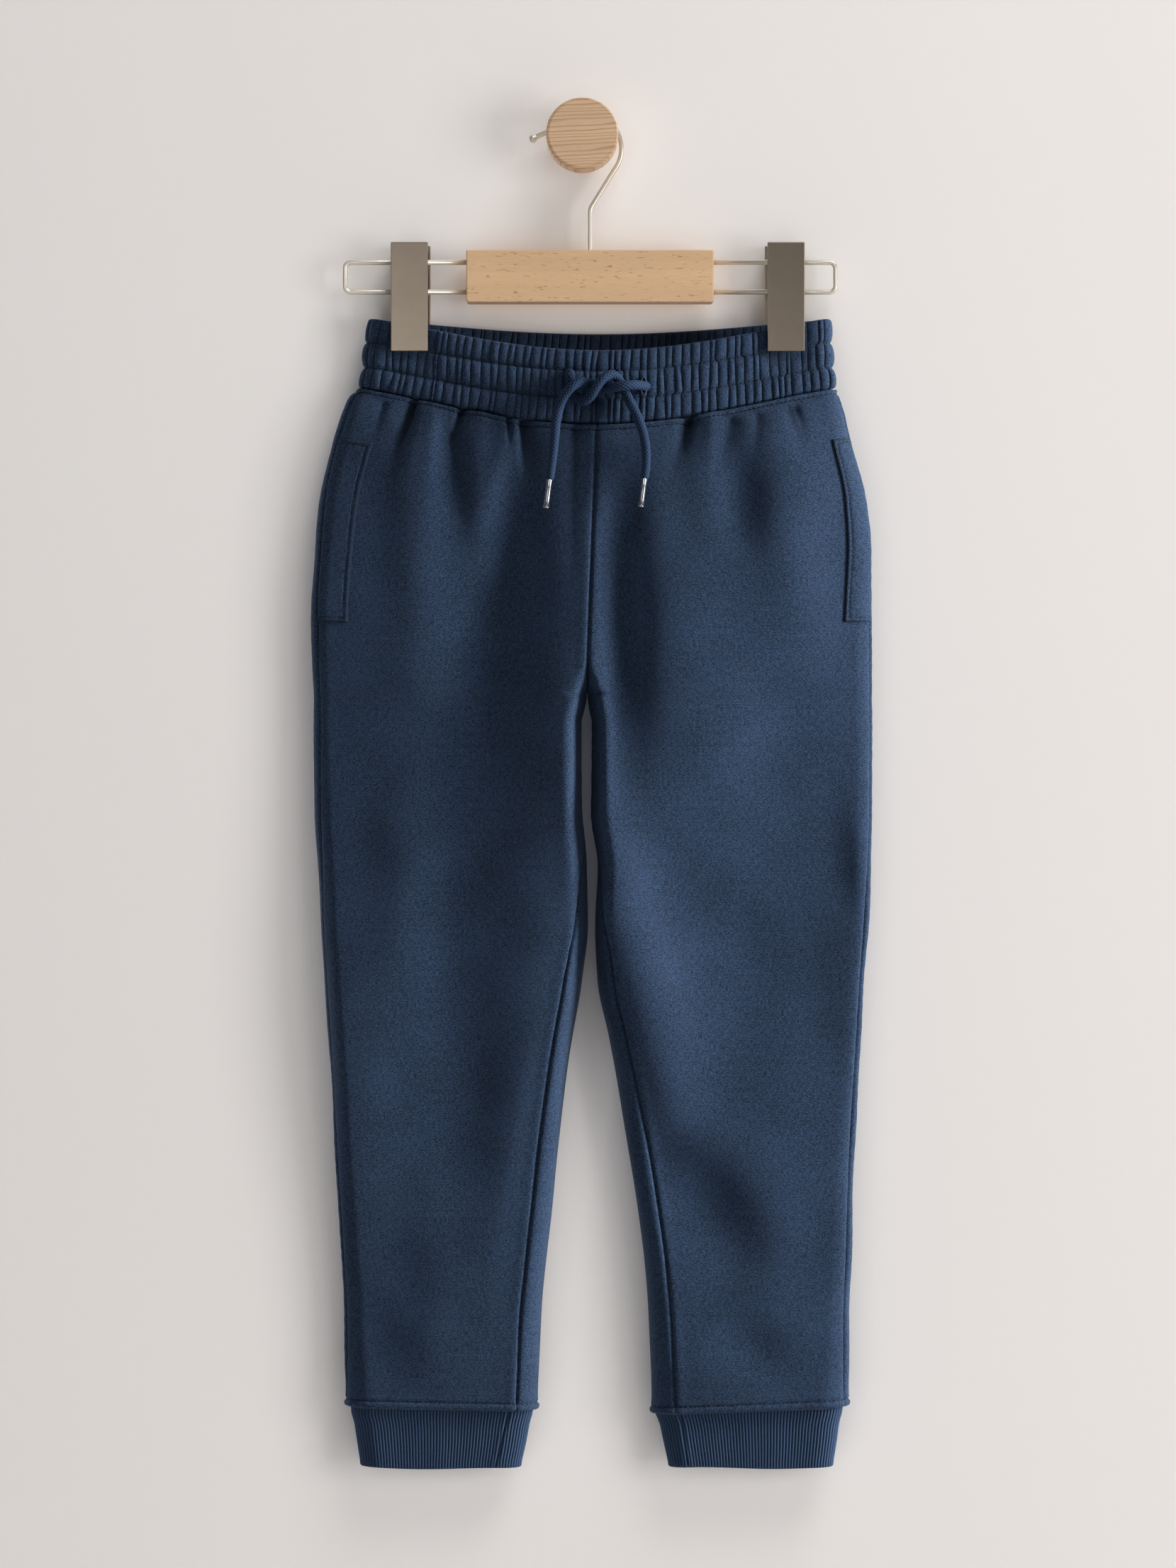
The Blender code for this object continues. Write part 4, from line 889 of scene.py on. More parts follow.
class Value:
    """A number that varies over a surface. Arithmetic on it adds Math nodes to its finish."""

    def __init__(self, finish, socket):
        self.finish = finish
        self.socket = socket

    def maths(self, operation, first, second=0.0):
        return self.finish.node("ShaderNodeMath", {"operation": operation}, {0: first, 1: second})

    def __add__(self, other):
        return self.maths("ADD", self, other)

    __radd__ = __add__

    def __sub__(self, other):
        return self.maths("SUBTRACT", self, other)

    def __rsub__(self, other):
        return self.maths("SUBTRACT", other, self)

    def __mul__(self, other):
        return self.maths("MULTIPLY", self, other)

    __rmul__ = __mul__

    def __pow__(self, other):
        return self.maths("POWER", self, other)

    def absolute(self):
        return self.maths("ABSOLUTE", self)

    def fraction(self):
        return self.maths("FRACT", self)

    def sine(self):
        return self.maths("SINE", self)

    def between(self, low, high):
        """0 at low, 1 at high, straight between."""
        sockets = {"Value": self, "From Min": low, "From Max": high}
        return self.finish.node("ShaderNodeMapRange", {"clamp": True}, sockets)


class Finish:
    """One procedural material, with short ways to add its nodes and to wire its shader."""

    def __init__(self, name):
        self.material = bpy.data.materials.new(name)
        self.material.use_nodes = True
        self.tree = self.material.node_tree
        self.shader = self.tree.nodes["Principled BSDF"]

    def node(self, kind, settings=None, sockets=None, output=0):
        """Adds a node: its settings first, then the values or links of its sockets."""
        made = self.tree.nodes.new(kind)
        for name, value in (settings or {}).items():
            setattr(made, name, value)
        for name, value in (sockets or {}).items():
            self.feed(made.inputs[name], value)
        return Value(self, made.outputs[output])

    def feed(self, socket, value):
        if isinstance(value, Value):
            self.tree.links.new(value.socket, socket)
        else:
            socket.default_value = value

    def wire(self, **sockets):
        """Sets or links the shader's own sockets, named with _ for a space."""
        for name, value in sockets.items():
            self.feed(self.shader.inputs[name.replace("_", " ")], value)

    def place(self, scale=(1.0, 1.0, 1.0)):
        """The point in the object's metres, scaled."""
        point = self.node("ShaderNodeTexCoord", output="Object")
        return self.node("ShaderNodeMapping", {}, {"Vector": point, "Scale": scale})

    def cloth(self, scale=(1.0, 1.0, 1.0)):
        """The point on the piece's cloth map, in metres along the cloth, scaled."""
        point = self.node("ShaderNodeUVMap", {"uv_map": "cloth"})
        return self.node("ShaderNodeMapping", {}, {"Vector": point, "Scale": scale})

    def parts(self, vector):
        """The x, y and z of a vector."""
        split = self.node("ShaderNodeSeparateXYZ", {}, {0: vector}).socket.node
        return [Value(self, split.outputs[i]) for i in range(3)]

    def noise(self, vector, scale=1.0, detail=2.0, roughness=0.5, distortion=0.0):
        sockets = {
            "Vector": vector, "Scale": scale, "Detail": detail, "Roughness": roughness,
            "Distortion": distortion,
        }  # fmt: skip
        return self.node("ShaderNodeTexNoise", {}, sockets)

    def mixed(self, share, first, second):
        """A colour between two colours, each of three numbers or a Value."""
        first = first if isinstance(first, Value) else (*first, 1.0)
        second = second if isinstance(second, Value) else (*second, 1.0)
        return self.node("ShaderNodeMix", {"data_type": "RGBA"}, {0: share, 6: first, 7: second}, 2)

    def bumped(self, height, distance, strength=1.0):
        """Relief of the surface: height runs from 0 to 1, distance is its full depth in mm."""
        sockets = {"Height": height, "Distance": distance * MM, "Strength": strength}
        self.wire(Normal=self.node("ShaderNodeBump", {}, sockets))

    def relief(self):
        """How far a point stands out of its piece's hollows, as its mesh says. The finishes paint
        shade into the hollows and light onto the crowns by it.
        """
        return self.node("ShaderNodeAttribute", {"attribute_name": "relief"}, output="Fac")

    def matt_cloth(self, lit):
        """Wires a matt cloth with a faint blue sheen, and hands its material over."""
        self.wire(Base_Color=lit, Roughness=0.93, Sheen_Weight=0.10, Sheen_Roughness=0.45)
        self.wire(Sheen_Tint=(0.45, 0.62, 0.95, 1.0), Specular_IOR_Level=0.22)
        return self.material


def shade(colour, share):
    """A colour made darker, or lighter where share is more than 1."""
    return tuple(channel * share for channel in colour)


def knit_height(finish, wale, course):
    """Stocking stitch on the cloth map, from 0 to 1: in each wale two strands lean together in a
    V, each round across itself and beaded along itself."""
    u, v, _ = finish.parts(finish.cloth())
    lean = ((u * (PER_METRE / wale)).fraction() - 0.5).absolute()
    across = 1.0 - ((lean * 4.0 - 1.0) ** 2.0) * 0.8
    beads = ((v * (PER_METRE / course) + lean * 1.2) * math.tau).sine() * 0.5 + 0.5
    return across * (beads * 0.6 + 0.4)


def fleece_finish(colour, name="fleece"):
    """Brushed-back fleece: fine stocking stitch, half hidden by a short uneven nap, whose loops
    lean together into fine slanting lines. Painted shade makes it darker in its hollows."""
    finish = Finish(name)
    cloth = finish.cloth()
    u, v, _ = finish.parts(cloth)
    knit = knit_height(finish, KNIT_WALE, KNIT_COURSE)
    nap = finish.noise(cloth, 1250.0, 2.0, 0.6)
    level = finish.noise(finish.cloth((620.0, 1900.0, 1.0)), 1.0, 1.0, 0.5)
    upright = finish.noise(finish.cloth((1500.0, 330.0, 1.0)), 1.0, 2.0, 0.6)
    wander = finish.noise(cloth, 260.0, 2.0, 0.5)
    slant = (v * 0.79 - u * 0.62) * (PER_METRE / SLANT) + wander * 1.5
    slant = (slant * math.tau).sine() * 0.5 + 0.5
    worn = finish.noise(cloth, 30.0, 3.0, 0.55)
    mottle = finish.noise(cloth, 330.0, 2.0, 0.6)
    finish.bumped(knit * 0.26 + nap * 0.36 + level * 0.38 + slant * 0.05, 0.52, 0.9)
    grain = knit * 0.24 + nap * 0.58 + level * 0.58 + upright * 0.36 + slant * 0.09
    tone = (grain + mottle * 0.20 + worn * 0.16).between(0.955, 1.235)
    # Painted shade: darker where the mesh's relief is low, in tucks, creases and along edges.
    tone = tone * (finish.relief() * 0.62 + 0.38)
    return finish.matt_cloth(finish.mixed(tone, shade(colour, 0.30), shade(colour, 1.70)))


def rib_finish(colour):
    """One-by-one rib: painted light on the ribs' crowns, painted shade in the purl between them."""
    finish = Finish("rib")
    u, v, _ = finish.parts(finish.cloth())
    loops = ((v * (PER_METRE / RIB_COURSE) + u * 300.0) * math.tau).sine() * 0.5 + 0.5
    fuzz = finish.noise(finish.cloth(), 1600.0, 3.0, 0.65)
    crown = finish.relief()
    finish.bumped(loops * 0.5 + fuzz * 0.5, 0.25, 0.7)
    # Painted light and shade: the crowns are painted lighter and the purl darker.
    tone = crown * 0.52 + fuzz.between(0.28, 0.72) * 0.44 + loops * crown * 0.14
    tone = tone.between(0.10, 1.0)
    return finish.matt_cloth(finish.mixed(tone, shade(colour, 0.30), shade(colour, 1.98)))


def braid_finish(colour):
    """Braided polyester, a little glossy: painted light on the strands' crowns, and painted
    shade between them.
    """
    finish = Finish("cord_braid")
    fibres = finish.noise(finish.cloth((2600.0, 900.0, 1.0)), 1.0, 2.0, 0.6)
    # Painted light and shade: paler on the strands' crowns, darker between them.
    tone = finish.relief() * 0.75 + fibres * 0.4 - 0.1
    lit = finish.mixed(tone.between(0.15, 0.95), shade(colour, 0.22), shade(colour, 2.0))
    finish.bumped(fibres, 0.12, 0.6)
    finish.wire(Base_Color=lit, Roughness=0.85, Specular_IOR_Level=0.12)
    return finish.material


def thread_finish(colour):
    """Sewing thread: two plies twisted, in the cloth's own navy."""
    finish = Finish("thread")
    fibres = finish.noise(finish.place(), 2400.0, 2.0, 0.6)
    lit = finish.mixed(fibres.between(0.3, 0.7), shade(colour, 0.45), shade(colour, 1.0))
    finish.wire(Base_Color=lit, Roughness=0.7, Specular_IOR_Level=0.3)
    return finish.material


def metal_finish(name, colour, roughness, grain, bump, mirror=1.0, fade=(-0.2, 0.2)):
    """Plated steel: grain is how uneven its gloss is, bump the depth of its blasting in mm, mirror
    how much of it reflects as bare metal does. A painted reflection makes it lighter downwards
    and darker upwards, between the two heights of fade."""
    finish = Finish(name)
    cloud = finish.noise(finish.place(), 60.0, 3.0, 0.6)
    speck = finish.noise(finish.place(), 2600.0, 2.0, 0.6)
    _, _, z = finish.parts(finish.place())
    # Painted reflection: darker upwards between the heights of fade, over an uneven cloud of tone.
    tone = cloud * 0.35 + z.between(*fade) * 0.65
    lit = finish.mixed(tone, shade(colour, 1.32), shade(colour, 0.72))
    rough = (cloud * 0.5 + speck * 0.5) * grain + (roughness - grain * 0.5)
    if bump:
        finish.bumped(speck, bump, 0.6)
    finish.wire(Base_Color=lit, Roughness=rough, Metallic=mirror)
    return finish.material


def beech_finish(colour):
    """Oiled beech, its grain along X: soft bands, fine pores, and short dark ray flecks."""
    finish = Finish("beech")
    bands = finish.noise(finish.place((7.0, 60.0, 110.0)), 1.0, 4.0, 0.55, 0.4)
    pores = finish.noise(finish.place((130.0, 1500.0, 2100.0)), 1.0, 3.0, 0.6)
    flecks = finish.noise(finish.place((230.0, 700.0, 1050.0)), 1.0, 1.0, 0.4)
    fleck = flecks.between(0.66, 0.74)
    tone = bands * 0.55 + pores * 0.55
    lit = finish.mixed(tone.between(0.30, 0.80), shade(colour, 0.84), shade(colour, 1.12))
    dark = (colour[0] * 0.56, colour[1] * 0.42, colour[2] * 0.34)
    finish.bumped(pores * 0.6 - fleck * 0.4, 0.06, 0.5)
    finish.wire(Base_Color=finish.mixed(fleck * 0.7, lit, dark), Roughness=pores * 0.18 + 0.42)
    finish.wire(Specular_IOR_Level=0.4)
    return finish.material


def knob_finish(colour):
    """Turned ash or pine: growth lines almost level across its face, each darker to its lower
    edge, with pale pores between them."""
    finish = Finish("knob_wood")
    bend = finish.noise(finish.place((22.0, 10.0, 30.0)), 1.0, 2.0, 0.5)
    x, _, z = finish.parts(finish.place())
    uneven = (z * 450.0 + 0.6).sine() * 0.9 + (z * 1300.0 + 1.0).sine() * 0.25
    rise = z * PER_METRE - x * 55.0 + bend * 3.0 + uneven
    ring = (rise * (1.0 / KNOB_RING)).fraction()
    line = ring.between(0.55, 0.96) * (1.0 - ring.between(0.96, 1.0))
    pores = finish.noise(finish.place((160.0, 500.0, 1700.0)), 1.0, 3.0, 0.65)
    broad = finish.noise(finish.place((14.0, 14.0, 120.0)), 1.0, 2.0, 0.5)
    tone = (pores * 0.6 + broad * 0.6).between(0.35, 0.85)
    pale = finish.mixed(tone, shade(colour, 0.86), shade(colour, 1.12))
    dark = (colour[0] * 0.66, colour[1] * 0.52, colour[2] * 0.40)
    finish.bumped(pores * 0.5 - line * 0.5, 0.08, 0.5)
    finish.wire(Base_Color=finish.mixed(line * 0.85, pale, dark), Roughness=pores * 0.15 + 0.5)
    return finish.material


def wall_finish(colour, glow):
    """Matt wall paint that shows on its front alone, so that the back can be seen through it. A
    glow of painted light, emitted by the wall itself, stands in for the room's own light, and
    fades where something close shuts that out, which paints shade there."""
    finish = Finish("wall_paint")
    cloud = finish.noise(finish.place(), 2.0, 2.0, 0.5)
    lit = finish.mixed(cloud.between(0.2, 0.8), shade(colour, 0.99), shade(colour, 1.01))
    finish.wire(Base_Color=lit, Roughness=0.9, Specular_IOR_Level=0.1)
    if glow:
        # Painted light: the wall glows, less where ambient occlusion finds something close.
        open_sky = finish.node("ShaderNodeAmbientOcclusion", {"samples": 8}, {"Distance": 0.03}, 1)
        lifted = finish.mixed(open_sky.between(0.27, 0.86), (0.0, 0.0, 0.0), colour)
        finish.wire(Emission_Color=lifted, Emission_Strength=glow)
    behind = finish.node("ShaderNodeNewGeometry", output="Backfacing")
    clear = finish.node("ShaderNodeBsdfTransparent")
    sockets = {0: behind, 1: Value(finish, finish.shader.outputs[0]), 2: clear}
    surface = finish.node("ShaderNodeMixShader", {}, sockets)
    finish.feed(finish.tree.nodes["Material Output"].inputs["Surface"], surface)
    return finish.material


# --- Settings ---


class ClothSettings(bpy.types.PropertyGroup):
    """The fleece, the rib and the thread."""

    fleece: bpy.props.FloatVectorProperty(
        name="Fleece", description="Dyed colour of the fleece", subtype="COLOR", size=3,
        min=0.0, max=1.0, default=(0.0215, 0.0425, 0.0870),
    )  # fmt: skip
    thread: bpy.props.FloatVectorProperty(
        name="Thread", description="Colour of the topstitching", subtype="COLOR", size=3,
        min=0.0, max=1.0, default=(0.013, 0.023, 0.046),
    )  # fmt: skip
    thickness: bpy.props.FloatProperty(
        name="Thickness", description="Thickness of the fleece", unit="LENGTH", default=0.002,
    )  # fmt: skip
    stitch: bpy.props.FloatProperty(
        name="Stitch", description="From one stitch to the next", unit="LENGTH", default=0.0026,
    )  # fmt: skip
    gathers: bpy.props.IntProperty(
        name="Gathers", description="Gathers round the waistband", min=40, max=160, default=114,
    )  # fmt: skip
    ribs: bpy.props.IntProperty(
        name="Ribs", description="Ribs round each cuff", min=40, max=200, default=122,
    )  # fmt: skip
    rib_height: bpy.props.FloatProperty(
        name="Rib height", description="From purl to crown", unit="LENGTH", default=0.0006,
    )  # fmt: skip


class CordSettings(bpy.types.PropertyGroup):
    """The drawcord and its metal ends."""

    diameter: bpy.props.FloatProperty(
        name="Diameter", description="Diameter of the drawcord", unit="LENGTH", default=0.0055,
    )  # fmt: skip
    colour: bpy.props.FloatVectorProperty(
        name="Cord", description="Colour of the braid", subtype="COLOR", size=3,
        min=0.0, max=1.0, default=(0.0175, 0.0345, 0.0740),
    )  # fmt: skip
    aglet: bpy.props.FloatVectorProperty(
        name="Aglets", description="Colour of the plated ends", subtype="COLOR", size=3,
        min=0.0, max=1.0, default=(0.46, 0.48, 0.53),
    )  # fmt: skip


class HangerSettings(bpy.types.PropertyGroup):
    """The wire and beech hanger, and the knob that it hangs on."""

    wire: bpy.props.FloatProperty(
        name="Wire", description="Diameter of the hanger's wire", unit="LENGTH", default=0.003,
    )  # fmt: skip
    wire_colour: bpy.props.FloatVectorProperty(
        name="Wire colour", description="Colour of the plated wire", subtype="COLOR", size=3,
        min=0.0, max=1.0, default=(0.74, 0.69, 0.61),
    )  # fmt: skip
    nickel: bpy.props.FloatVectorProperty(
        name="Nickel", description="Colour of the clips' plates", subtype="COLOR", size=3,
        min=0.0, max=1.0, default=(0.273, 0.228, 0.181),
    )  # fmt: skip
    beech: bpy.props.FloatVectorProperty(
        name="Beech", description="Colour of the block", subtype="COLOR", size=3,
        min=0.0, max=1.0, default=(0.755, 0.50, 0.294),
    )  # fmt: skip
    knob: bpy.props.FloatVectorProperty(
        name="Knob", description="Colour of the knob's wood", subtype="COLOR", size=3,
        min=0.0, max=1.0, default=(0.69, 0.475, 0.30),
    )  # fmt: skip


class StageSettings(bpy.types.PropertyGroup):
    """The wall, the light and the camera."""

    wall: bpy.props.FloatVectorProperty(
        name="Wall", description="Colour of the wall and the floor", subtype="COLOR", size=3,
        min=0.0, max=1.0, default=(0.80, 0.775, 0.762),
    )  # fmt: skip
    key: bpy.props.FloatProperty(
        name="Key light", description="Power of the soft light on the wall and the hanger",
        unit="POWER", default=34.0,
    )  # fmt: skip
    rake: bpy.props.FloatProperty(
        name="Raking light", description="Power of the low light along the cloth", unit="POWER",
        default=214.0,
    )  # fmt: skip
    over: bpy.props.FloatProperty(
        name="Upper light", description="Power of the light down the cloth", unit="POWER",
        default=15.0,
    )  # fmt: skip
    fill: bpy.props.FloatProperty(
        name="Cloth fill", description="Power of the light on the cloth from the other side",
        unit="POWER", default=12.0,
    )  # fmt: skip
    card: bpy.props.FloatProperty(
        name="Front light", description="Power of the light on the hanger's front", unit="POWER",
        default=13.0,
    )  # fmt: skip
    top: bpy.props.FloatProperty(
        name="Top light", description="Power of the light from above", unit="POWER", default=38.0,
    )  # fmt: skip
    back: bpy.props.FloatProperty(
        name="Back light", description="Power of the lights behind the wall", unit="POWER",
        default=30.0,
    )  # fmt: skip
    glow: bpy.props.FloatProperty(
        name="Wall glow", description="How far the room's own light lifts the wall's shadows",
        default=0.30,
    )  # fmt: skip
    sky: bpy.props.FloatProperty(
        name="Room", description="Brightness of the room round the garment", default=0.05,
    )  # fmt: skip
    lens: bpy.props.FloatProperty(
        name="Lens", description="Focal length in millimetres", default=106.5,
    )  # fmt: skip


# --- Operators ---


class JOGGERS_OT_leg_panels(bpy.types.Operator):
    """Makes the front and back panel of each leg, with the turned edges, seams, folds and tucks"""

    bl_idname = "joggers.leg_panels"
    bl_label = "Leg Panels"

    def execute(self, context):
        cloth = context.scene.jogger_cloth
        finish = fleece_finish(tuple(cloth.fleece))
        for side, name in SIDES.items():
            for face, grid in leg_surface(side).items():
                label = f"{face}_{name}_leg"
                plain = grid["points"] - grid["out"] * (cloth.thickness / MM)
                plain = plain[::PLAIN_EVERY, ::PLAIN_EVERY]
                mesh = panel_mesh(label, grid, plain, PLAIN_EVERY, grid["relief"])
                piece = add_piece(f"{label}_cloth", mesh, finish, [label])
        return {"FINISHED"}


def gather_fractions(count, levels, places, seed):
    """Where each column stands round the band at each level, as a share of the way round: gathers
    of uneven width. Each puff has its own creases, which lean a little from its top to its foot."""
    draw = np.random.default_rng(seed)
    widths = draw.uniform(0.78, 1.22, count)
    start = np.concatenate([[0.0], np.cumsum(widths)])[:-1] / widths.sum()
    stations = np.array(BAND_ROWS).ravel()
    weight = np.stack([np.interp(-levels, -stations, row) for row in np.eye(len(stations))], axis=1)
    shift = np.repeat(draw.uniform(-0.26, 0.26, (len(BAND_ROWS), count)), 2, axis=0)
    shift += draw.uniform(-0.10, 0.10, shift.shape)
    creases = start + weight @ shift / count
    ahead = np.concatenate([creases[:, 1:], creases[:, :1] + 1.0], axis=1)
    share = np.array(places)[None, None, :]
    fractions = creases[:, :, None] + (ahead - creases)[:, :, None] * share
    sizes = 1.0 + weight @ draw.normal(0.0, 0.13, (len(stations), count))
    return fractions.reshape(len(levels), -1), np.repeat(sizes, len(places), axis=1)


def band_outlines(levels):
    """The whole waist at many levels, from its right edge along the front and back again."""
    rows = sections(BAND_SECTIONS, levels)
    share = (1.0 - np.cos(np.linspace(0.0, math.pi, FINE + 1))) / 2
    x = rows["right_out"] + (rows["left_out"] - rows["right_out"]) * share
    edge = EDGE_ROUND * rows["side_depth"]
    depth = rows["side_depth"] + (rows["depth"] - rows["side_depth"]) * sag(rows, x)
    depth = depth * rounded((x - rows["right_out"]) / edge) * rounded((rows["left_out"] - x) / edge)
    front = [x, rows["middle"] - depth, rows["level"] - rows["front_dip"] * sag(rows, x)]
    back = [x, rows["middle"] + depth, rows["level"] - rows["back_dip"] * sag(rows, x)]
    front, back = np.stack(front, axis=-1), np.stack(back, axis=-1)
    return np.concatenate([front, back[:, -2::-1]], axis=1)


def rings(lines, fractions):
    """Closed outlines at fractions of the way round them, and the level way out of each place."""
    along = lengths(lines)
    total = along[:, -1:]
    wanted = np.mod(fractions, 1.0) * total
    grid = resampled(lines, along, wanted)
    ahead = resampled(lines, along, np.mod(wanted + 0.6, total))
    behind = resampled(lines, along, np.mod(wanted - 0.6, total))
    tangent = unit(ahead - behind)
    level_out = np.stack([tangent[..., 1], -tangent[..., 0], np.zeros(tangent.shape[:2])], axis=-1)
    return grid, unit(level_out)


def clip_squeeze(x, level):
    """How much the puffs keep of their height where a clip's plates press on them."""
    near = sum(np.exp(-(((x - place) / SQUEEZE_REACH) ** 4)) for place in CLIP_X.values())
    pressed = clamped((level - CLIP_LOW + SQUEEZE_FADE) / SQUEEZE_FADE)
    return 1.0 - SQUEEZE * near * pressed


def puff_heights(levels):
    """How far the crowns and the creases stand out at each level: between two pinched rows, the
    pinch and half an ellipse on it."""
    crown, crease = np.zeros_like(levels), np.zeros_like(levels)
    for (top, *start), (foot, *end), peak in zip(BAND_PINCHES, BAND_PINCHES[1:], BAND_PUFFS):
        share = clamped((top - levels) / (top - foot))
        inside = (levels <= top) & (levels >= foot)
        bulge = np.sqrt(np.maximum(1.0 - (2.0 * share - 1.0) ** 2, 0.0))
        for row, first, last, high in zip((crown, crease), start, end, peak):
            base = first + (last - first) * share
            row[inside] = (base + (high - base) * bulge)[inside]
    return crown, crease


def folded_over(stand, hidden, count, rise):
    """How far out and how far up a wall's rows are: count rows on its outside, which stand out as
    given, half a turn over its folded edge, and the hidden rows on its inside."""
    last = count + len(FOLD_ANGLES)
    middle, reach = (stand[count] + hidden[count]) / 2, (stand[count] - hidden[count]) / 2
    over = middle + reach * np.cos(FOLD_ANGLES)[:, None]
    lift = np.zeros_like(stand)
    lift[count:last] = rise * np.sin(FOLD_ANGLES)[:, None]
    return np.concatenate([stand[:count], over, hidden[last:]]), lift


def held_by_clips(points):
    """The band's points, kept between a clip's plates where the plates cover them."""
    x, y, z = np.moveaxis(points, -1, 0)
    gripped = sum(np.abs(x - place) < CLIP_WIDE / 2 + 1.0 for place in CLIP_X.values())
    gripped = (gripped > 0) & (z > CLIP_LOW - 0.6)
    deep = CLIP_GRIP - 0.05
    held = np.clip(y, HANGER_Y - deep, HANGER_Y + deep)
    return np.stack([x, np.where(gripped, held, y), z], axis=-1)


@functools.cache
def band_surface(gathers):
    """The waistband as one closed wall: rows go up its outside, over the folded top edge and down
    its inside. The crown of a gather is a sine to a small power, so that creases are narrow."""
    foot, fold = BAND_FOOT + np.array(BAND_CLOSE), BAND_TOP - ROLL_TOP
    outside = np.concatenate([foot[:-1], np.linspace(foot[-1], fold, BAND_LEVELS)])
    over = np.full(len(FOLD_ANGLES), fold)
    inside = np.linspace(fold, BAND_FOOT - FOOT_LAP, BAND_INSIDE)
    levels = np.concatenate([outside, over, inside])
    fractions, sizes = gather_fractions(gathers, levels, GATHER_PLACES, 3)
    grid, out = rings(band_outlines(levels), fractions)
    bulge = np.tile(np.sin(math.pi * np.array(GATHER_PLACES)) ** 0.30, gathers)[None, :]
    crown, crease = (heights[:, None] for heights in puff_heights(levels))
    stand = (crease + (crown - crease) * bulge * sizes) * clip_squeeze(grid[..., 0], levels[:, None])
    hidden = -THROUGH - 0.5 * np.maximum(stand, 0.0)
    turned_in = 1.3 * bell(levels - BAND_FOOT, 0.9)[:, None]
    count = len(outside)
    stand[:count] -= turned_in[:count]
    stand, lift = folded_over(stand, hidden, count, ROLL_TOP)
    points = grid + out * stand[..., None]
    points[..., 2] += lift
    points = held_by_clips(points)
    # Painted shade: the relief below paints the band darker in the creases between its gathers and
    # where it stands low.
    proud = clamped((stand - 0.2) / 1.8)
    relief = (0.50 * bulge + 0.62) * (0.30 + 0.70 * proud)
    stitched = [int(np.argmin(np.abs(outside - level))) for level in BAND_STITCHES]
    return {
        "points": points, "out": out, "round": fractions, "relief": relief,
        "outside": points[:count], "stitched": stitched,
    }  # fmt: skip


class JOGGERS_OT_waistband(bpy.types.Operator):
    """Makes the gathered elastic waistband, with three puffs and a folded top edge"""

    bl_idname = "joggers.waistband"
    bl_label = "Waistband"

    def execute(self, context):
        cloth = context.scene.jogger_cloth
        band = band_surface(cloth.gathers)
        mesh = loop_mesh("waistband", band["points"], band["round"], BAND_CUT, band["relief"])
        finish = fleece_finish(tuple(cloth.fleece), "fleece_gathered")
        piece = add_piece("waistband_cloth", mesh, finish, ["waistband"])
        return {"FINISHED"}


def cuff_outlines(side, levels):
    """One cuff at many levels, from its end at -X along the front and back again."""
    rows = sections(CUFF_SECTIONS, levels)
    name = SIDES[side]
    ends = (rows[name + "_out"], rows[name + "_in"])
    low, high = ends if side == RIGHT else ends[::-1]
    return outlines(rows, low, high, np.zeros_like(low))


@functools.cache
def cuff_surface(side, ribs, rib_height):
    """One cuff as one closed wall: rows go down its outside, round the folded foot and up its
    inside. A rib is a sine to a small power, and the seam is a groove between two low ridges."""
    outside = np.linspace(CUFF_TOP, CUFF_FOOT + CUFF_ROLL, CUFF_LEVELS)
    round_it = np.full(len(FOLD_ANGLES), outside[-1])
    inside = outside[::-3]
    levels = np.concatenate([outside, round_it, inside])
    share = np.array(RIB_PLACES)
    fractions = ((np.arange(ribs)[:, None] + share[None, :]) / ribs).reshape(1, -1)
    fractions = np.broadcast_to(fractions, (len(levels), fractions.shape[1]))
    grid, out = rings(cuff_outlines(side, levels), fractions)
    crown = np.tile(np.sin(math.pi * share) ** 0.7, ribs)[None, :]
    stand = crown * rib_height * np.ones((len(levels), 1))
    x0, z0, x1, z1 = CUFF_SEAM[side]
    _, across = line_places(grid[..., 0], grid[..., 2], x0, z0, x1, z1)
    front = grid[..., 1] < CUFF_MIDDLE
    stand += front * (0.2 * bell(np.abs(across) - 1.7, 0.9))
    stand -= front * (0.55 * bell(across, 0.5))
    stand += 0.12 * ripples(grid[..., 0], grid[..., 2] * 0.4, 26.0, 31)
    hidden = -THROUGH + 0.25 * stand
    stand, lift = folded_over(stand, hidden, len(outside), -CUFF_ROLL)
    points = grid + out * stand[..., None]
    points[..., 2] += lift + 0.5 * ripples(grid[..., 0], 0 * grid[..., 0], 56.0, 32, 4)
    return points, fractions, np.broadcast_to(crown, stand.shape)


class JOGGERS_OT_cuffs(bpy.types.Operator):
    """Makes the two ribbed cuffs, each folded at its foot and joined by one seam"""

    bl_idname = "joggers.cuffs"
    bl_label = "Cuffs"

    def execute(self, context):
        cloth = context.scene.jogger_cloth
        finish = rib_finish(tuple(cloth.fleece))
        for side, name in SIDES.items():
            points, fractions, relief = cuff_surface(side, cloth.ribs, cloth.rib_height / MM)
            mesh = loop_mesh(f"cuff_{name}", points, fractions, CUFF_CUT, relief)
            piece = add_piece(f"cuff_{name}_rib", mesh, finish, [f"cuff_{name}"])
        return {"FINISHED"}


